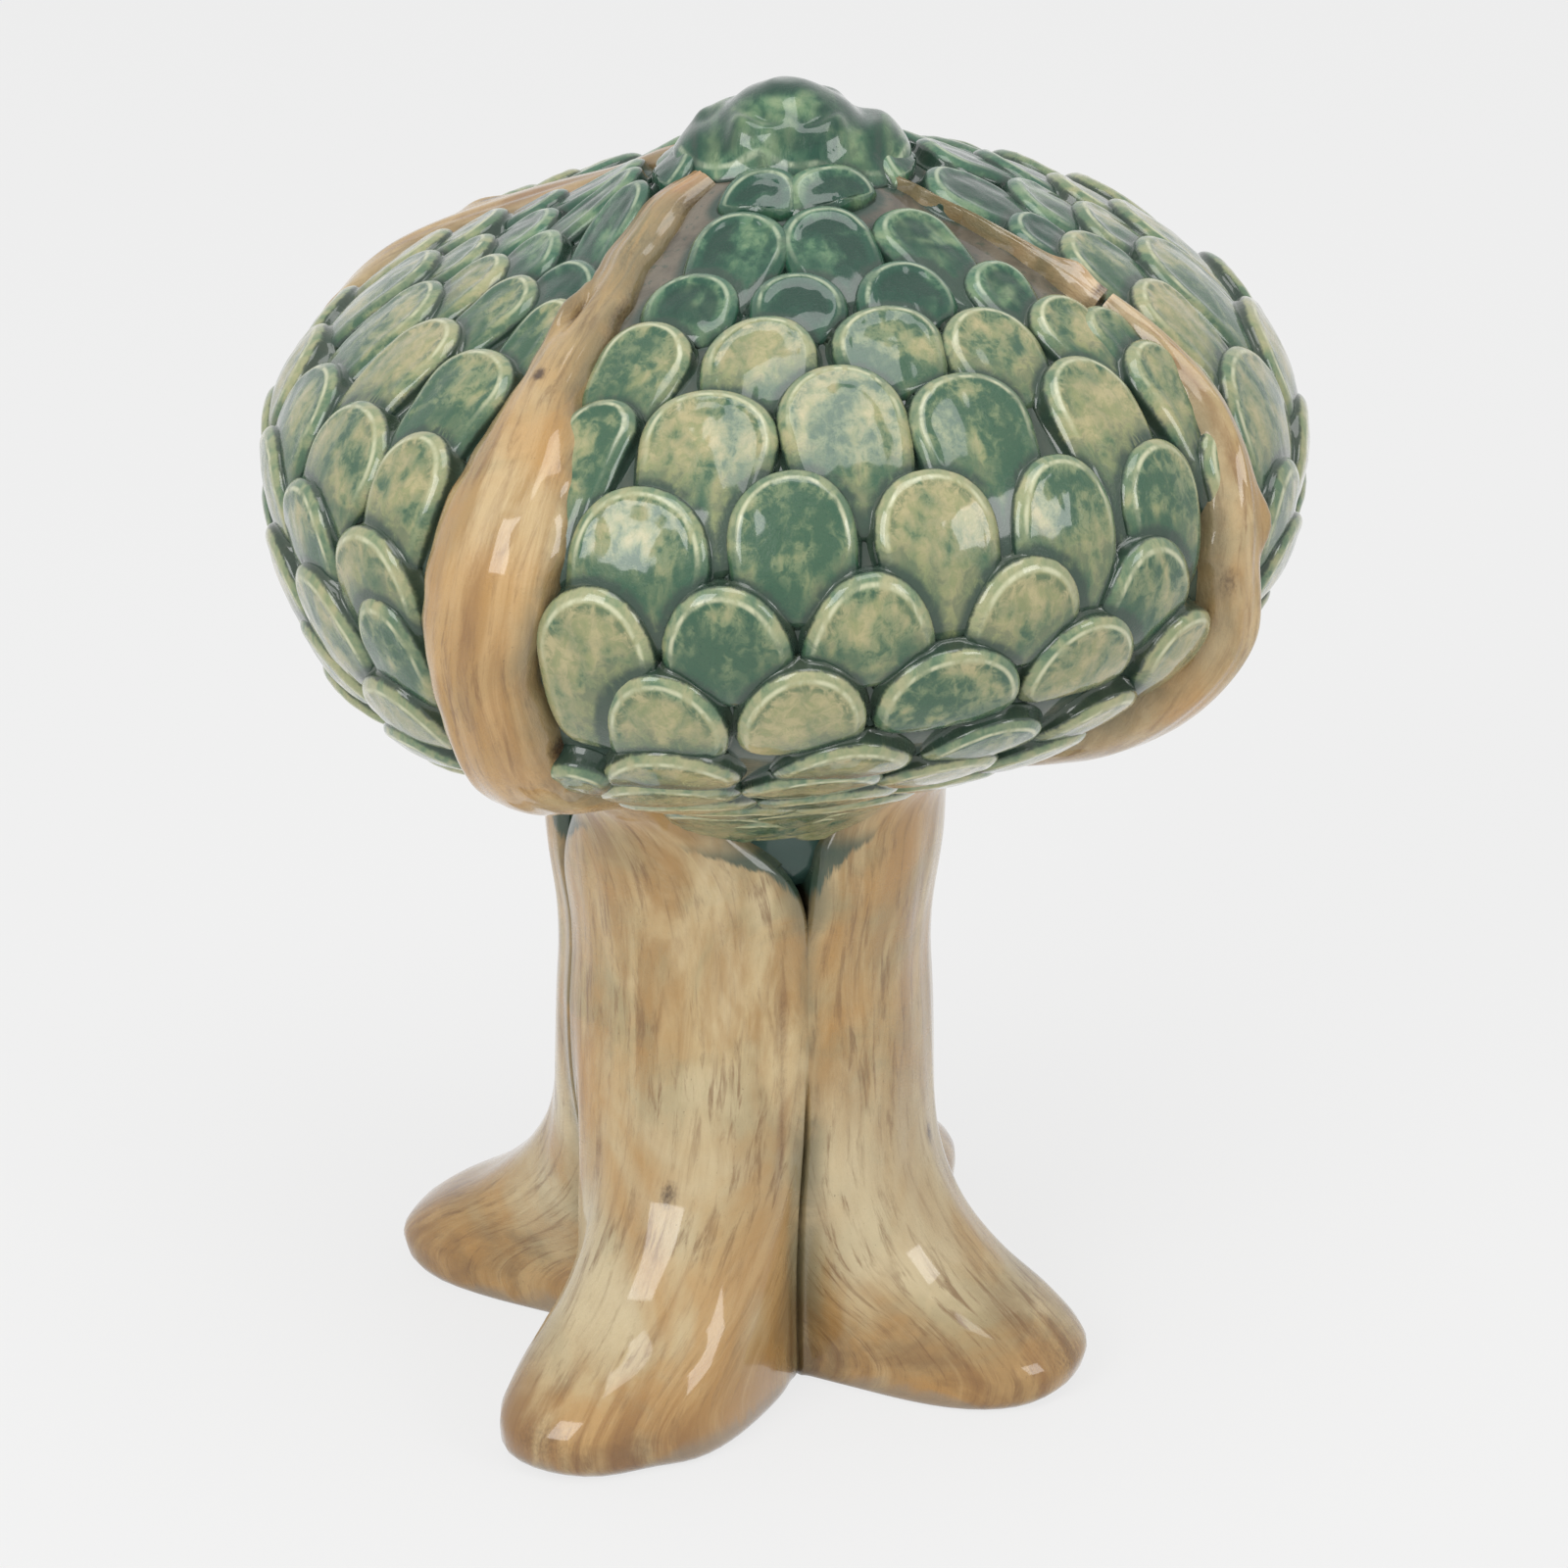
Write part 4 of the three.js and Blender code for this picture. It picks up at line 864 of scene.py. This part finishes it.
photoView = {"location": (0, -1.529, 0.843), "pitch": 66.07, "lens": 139, "sensor": 36}
studio = {
    "floorReach": 6.0, "floorColour": 0.872, "floorGlow": 0.88, "matt": 0.9, "worldLight": 0.58,
    "target": (0, 0, 0.2),
    # name, place, width, height and watts of each soft box
    "lamps": [("key_box", (-0.95, -1.25, 1.15), 0.8, 1, 14), ("fill_box", (1.25, -0.95, 1), 0.6, 0.6, 6),
              ("top_box", (0.1, -0.3, 1.7), 0.9, 0.9, 8.5)],
}


def emptied(owner):           # its node tree, and a socket that is 1 where the camera or a gloss sees it
    owner.use_nodes = True
    tree = owner.node_tree
    tree.nodes.clear()
    rays = addNode(tree, "LightPath").outputs
    return tree, chained(tree, "MAXIMUM", rays["Is Camera Ray"], rays["Is Glossy Ray"])


def setStudio():
    camera = placed("photo_camera", bpy.data.cameras.new("photo_camera"))
    camera.location = photoView["location"]
    camera.rotation_euler = (math.radians(photoView["pitch"]), 0, 0)
    camera.data.lens, camera.data.sensor_width = photoView["lens"], photoView["sensor"]
    bpy.context.scene.camera = camera
    bpy.context.scene.view_settings.view_transform = "Standard"

    reach, level = studio["floorReach"], studio["floorColour"]
    mesh = bpy.data.meshes.new("studio_floor")
    mesh.from_pydata([(-reach, -reach, 0), (reach, -reach, 0), (reach, reach, 0), (-reach, reach, 0)], [],
                     [(0, 1, 2, 3)])
    floor = placed("studio_floor", mesh)
    paper = bpy.data.materials.new("studio_paper")
    tree, seen = emptied(paper)
    plain = addNode(tree, "Emission", {"Color": (level, level, level, 1), "Strength": 1.0})
    matt = addNode(tree, "BsdfDiffuse", {"Color": (studio["matt"],) * 3 + (1,)})
    share = chained(tree, "MULTIPLY", seen, studio["floorGlow"])
    both = addNode(tree, "MixShader", {0: share, 1: matt.outputs[0], 2: plain.outputs[0]})
    addNode(tree, "OutputMaterial", {0: both.outputs[0]})
    mesh.materials.append(paper)

    world = bpy.data.worlds.new("studio_air")
    bpy.context.scene.world = world
    tree, seen = emptied(world)
    strength = addNode(tree, "MapRange", {"Value": seen, "To Min": studio["worldLight"], "To Max": level})
    air = addNode(tree, "Background", {"Color": (1, 1, 1, 1), "Strength": strength.outputs["Result"]})
    addNode(tree, "OutputWorld", {0: air.outputs[0]})

    for name, place, width, height, watts in studio["lamps"]:
        lamp = placed(name, bpy.data.lights.new(name, "AREA"))
        lamp.data.shape = "RECTANGLE"
        lamp.data.size, lamp.data.size_y = width, height
        lamp.data.energy = watts
        lamp.location = place
        aim = Vector(studio["target"]) - Vector(place)
        lamp.rotation_euler = aim.to_track_quat("-Z", "Y").to_euler()


setStudio()
print("studio set")

# Assembly

trunkGlaze = woodGlaze("trunk_glaze")
branchGlaze = woodGlaze("branch_glaze")
glazes = {name: leafGlaze(name) for name in leafGlazes}
crownClay = clayGlaze()

for k in range(4):
    part = limbSheet(k)
    stemPiece(part, trunkGlaze)
    name, first, last = part["limb"]["name"], part["rows"] - 1, len(part["sheet"])
    if name == "right":       # split where a slim tip starts beside the stouter piece
        fork = int(np.searchsorted(-part["places"], -branchShape["forkPlace"]))
        branchPiece(part, branchGlaze, first, fork, "right_branch_glazed")
        branchPiece(part, branchGlaze, fork, last, "right_branch_tip_glazed")
    else:
        branchPiece(part, branchGlaze, first, last, name + "_branch_glazed")
print("limbs made")

darkRows = 3                  # rows under the cap in the darker glaze
lapped = 3                    # rows above that a leaf may rest on
allPads = {(panel, row): makePads(panel, row) for panel in range(4) for row in range(len(leafRows))}
courses, outlines = {}, {}
for (panel, row), pads in allPads.items():
    above = [pad for k in range(max(row - lapped, 0), row) for pad in allPads[panel, k]]
    courses[panel, row] = [padMesh(pad, above) for pad in pads]
    outlines[panel, row] = [spot for part in courses[panel, row] for spot in part["outline"]]
for (panel, row), parts in courses.items():
    joined = {key: np.concatenate([part[key] for part in parts])
              for key in ("points", "rim", "tone", "spot", "flat")}
    starts = np.cumsum([0] + [len(part["points"]) for part in parts])
    quads, triangles = (np.concatenate([part[key] + start for part, start in zip(parts, starts)])
                        for key in ("quads", "triangles"))
    below = [spot for k in (row + 1, row + 2) for spot in outlines.get((panel, k), [])]
    marks = {key: joined[key] for key in ("rim", "tone", "spot")}
    # distance to the outlines of the next two rows, for glaze pooled there and painted shade in the crevices
    marks["pool"] = nearest(joined["flat"], below)
    slotName = "dark_leaf_glaze" if row < darkRows else "leaf_glaze"
    name = f"{limbs[panel]['name']}_leaves_{row + 1:02d}_glazed"
    makePiece(name, joined["points"], quads, triangles, glazes[slotName], marks)
print("leaf courses made", len(courses))
leafEdges = [spot for outline in outlines.values() for spot in outline]
crownSides = 420


def turnedPiece(name, outline, firstOuter, places):
    # a turned body settled with the crown, its outline's ends both on the axis or else joined. The rings from
    # "firstOuter" are its outside, at these places
    outline = np.array(outline, float)
    onAxis = outline[0, 0] < 0.01
    rings = outline[1:-1] if onAxis else outline
    turn = np.linspace(0, 2 * np.pi, crownSides, endpoint=False)
    down = np.zeros((len(rings), crownSides))
    down[firstOuter:firstOuter + len(places)] = easedDown(places[:, None], turn)
    r, z = rings.T[..., None]
    points = np.stack([r * np.sin(turn), -r * np.cos(turn), z - down], -1).reshape(-1, 3)
    if onAxis:
        quads, triangles = closedRings(len(rings), crownSides)
        points = np.concatenate([points, [[0, 0, outline[0, 1]], [0, 0, outline[-1, 1]]]])
    else:
        quads, triangles = gridQuads(len(rings) + 1, crownSides, closed=True) % len(points), []
    points = settle(points)
    # the distance to the leaves' outlines gives the clay its pooled glaze and painted shade beside them
    makePiece(name, points, quads, triangles, crownClay, {"pool": nearest(points, leafEdges)})


def bedProfile(places):              # the crown's profile with its bed of slip
    r, z = offProfile(places, along(slipBed, places))
    return np.stack([np.maximum(r, 0), z], 1)


gap, lipTop = crownBody["seamGap"], widestHeight + crownBody["lipHeight"]
innerRadius = crownBody["radius"] - crownBody["wall"]
innerRise = crownBody["domeRise"] - crownBody["wall"]
lipRadius = innerRadius + crownBody["lip"]
domePlaces = np.linspace(0, 1, 120)
domeOuter = bedProfile(domePlaces)
domeOuter[0, 0] = 0
domeOuter[-1, 1] += 0.05
turn = np.linspace(np.pi / 2, 0, 16)
radiusPower, risePower = crownBody["domePowers"]
domeInner = np.stack([innerRadius * np.sin(turn)**(2 / radiusPower),
                      widestHeight + innerRise * np.cos(turn)**(2 / risePower)], 1)
domeInner[0, 1] = lipTop + gap
domeRim = [[lipRadius + gap, widestHeight + gap], [lipRadius + gap, lipTop + gap]]
turnedPiece("crown_dome_glazed", [*domeOuter, *domeRim, *domeInner], 0, domePlaces[1:])

bowlPlaces = np.linspace(1, 2, 100)
plug = [[r, neckFoot + z] for r, z in crownBody["neckPlug"]]
turn = np.linspace(0, np.pi / 2, 12)
bowlInner = np.stack([mixed(crownBody["boreRadius"], innerRadius, np.sin(turn)),
                      widestHeight - crownBody["innerDepth"] * np.cos(turn)**crownBody["innerPower"]], 1)
bowlInner[-1, 1] = lipTop
turnedPiece("crown_bowl_glazed", [[lipRadius, lipTop], [lipRadius, widestHeight], *bedProfile(bowlPlaces),
                                  *plug, *bowlInner], 2, bowlPlaces)
print("crown shells made")

capLeaf = {
    "radius": 31, "frontCut": 10.5, "rightSpread": 2.5, "top": 13.4, "fullness": 1.7, "edge": 1.2,
    "foot": 0.3, "tone": 0.42, "spotLevel": 31,
    # small lobes at its foot: direction, distance out, reach across, reach outwards, height
    "lobes": [[-28, 15, 6.5, 3.6, 2.6], [38, 16, 5.5, 3.4, 2.0], [150, 17, 7, 4, 2.2], [-120, 18, 6, 4, 2.0],
              [97, 27, 11, 7, 4.5], [-93, 26, 10, 7, 4.0]],
}


def capPiece(glaze):
    sides = 144
    turn = np.linspace(-np.pi, np.pi, sides, endpoint=False)
    shares = np.concatenate([np.linspace(0.02, 0.85, 28), np.linspace(0.88, 1, 9)])[:, None]
    reach = capLeaf["radius"] - capLeaf["frontCut"] * np.clip(np.cos(turn), 0, 1)**2
    reach = reach + capLeaf["rightSpread"] * np.sin(turn)
    reach = reach + 0.7 * ripple(turn * 2, 0.5) + 0.5 * np.sin(7 * turn + 1)
    out = shares * reach
    x, y = out * np.sin(turn), -out * np.cos(turn)
    height = capLeaf["edge"] + capLeaf["top"] * (1 - shares**capLeaf["fullness"])
    height = height * (1 - 0.25 * smooth(shares, 0.97, 1))
    for direction, distance, across, outward, amount in capLeaf["lobes"]:
        turned = turnFrom(direction, turn)
        lobe = np.exp(-(turned * out / across)**4 - ((out - distance) / outward)**4)
        height = height + amount * lobe * smooth(1 - shares, 0, 0.04)
    height = height + 0.5 * ripple(x / 7, -y / 7) * smooth(1 - shares, 0, 0.2)
    onDome = placeList <= 1
    place = np.interp(out, profile[0][onDome], placeList[onDome])
    top = crownPoint(place, turn, height)
    under = crownPoint(place[-1:], turn, capLeaf["foot"])
    middles = crownPoint(0.0, 0.0, np.array([capLeaf["edge"] + capLeaf["top"], capLeaf["foot"]]))
    points = np.concatenate([np.concatenate([top, under]).reshape(-1, 3), middles])
    quads, triangles = closedRings(len(shares) + 1, sides)
    x, y = np.append(x, x[-1]), np.append(y, y[-1])
    spot = np.stack([x, y, np.full(x.size, capLeaf["spotLevel"])], -1)
    flat = crownPoint(place, turn, 0)
    flatPoints = np.concatenate([flat.reshape(-1, 3), flat[-1], middles])
    # the pool distance and the rim under the foot place pooled glaze and painted shade at the cap's edges
    marks = {"rim": np.concatenate([((1 - shares) * reach).ravel(), np.full(sides, -0.6), [20, -1]]),
             "spot": np.concatenate([spot, [[0, 0, capLeaf["spotLevel"]]] * 2]),
             "tone": np.full(len(points), capLeaf["tone"]), "pool": 1.2 + nearest(flatPoints, leafEdges)}
    makePiece("cap_leaf_glazed", points, quads, triangles, glaze, marks)


capPiece(glazes["dark_leaf_glaze"])
print("cap leaf made")
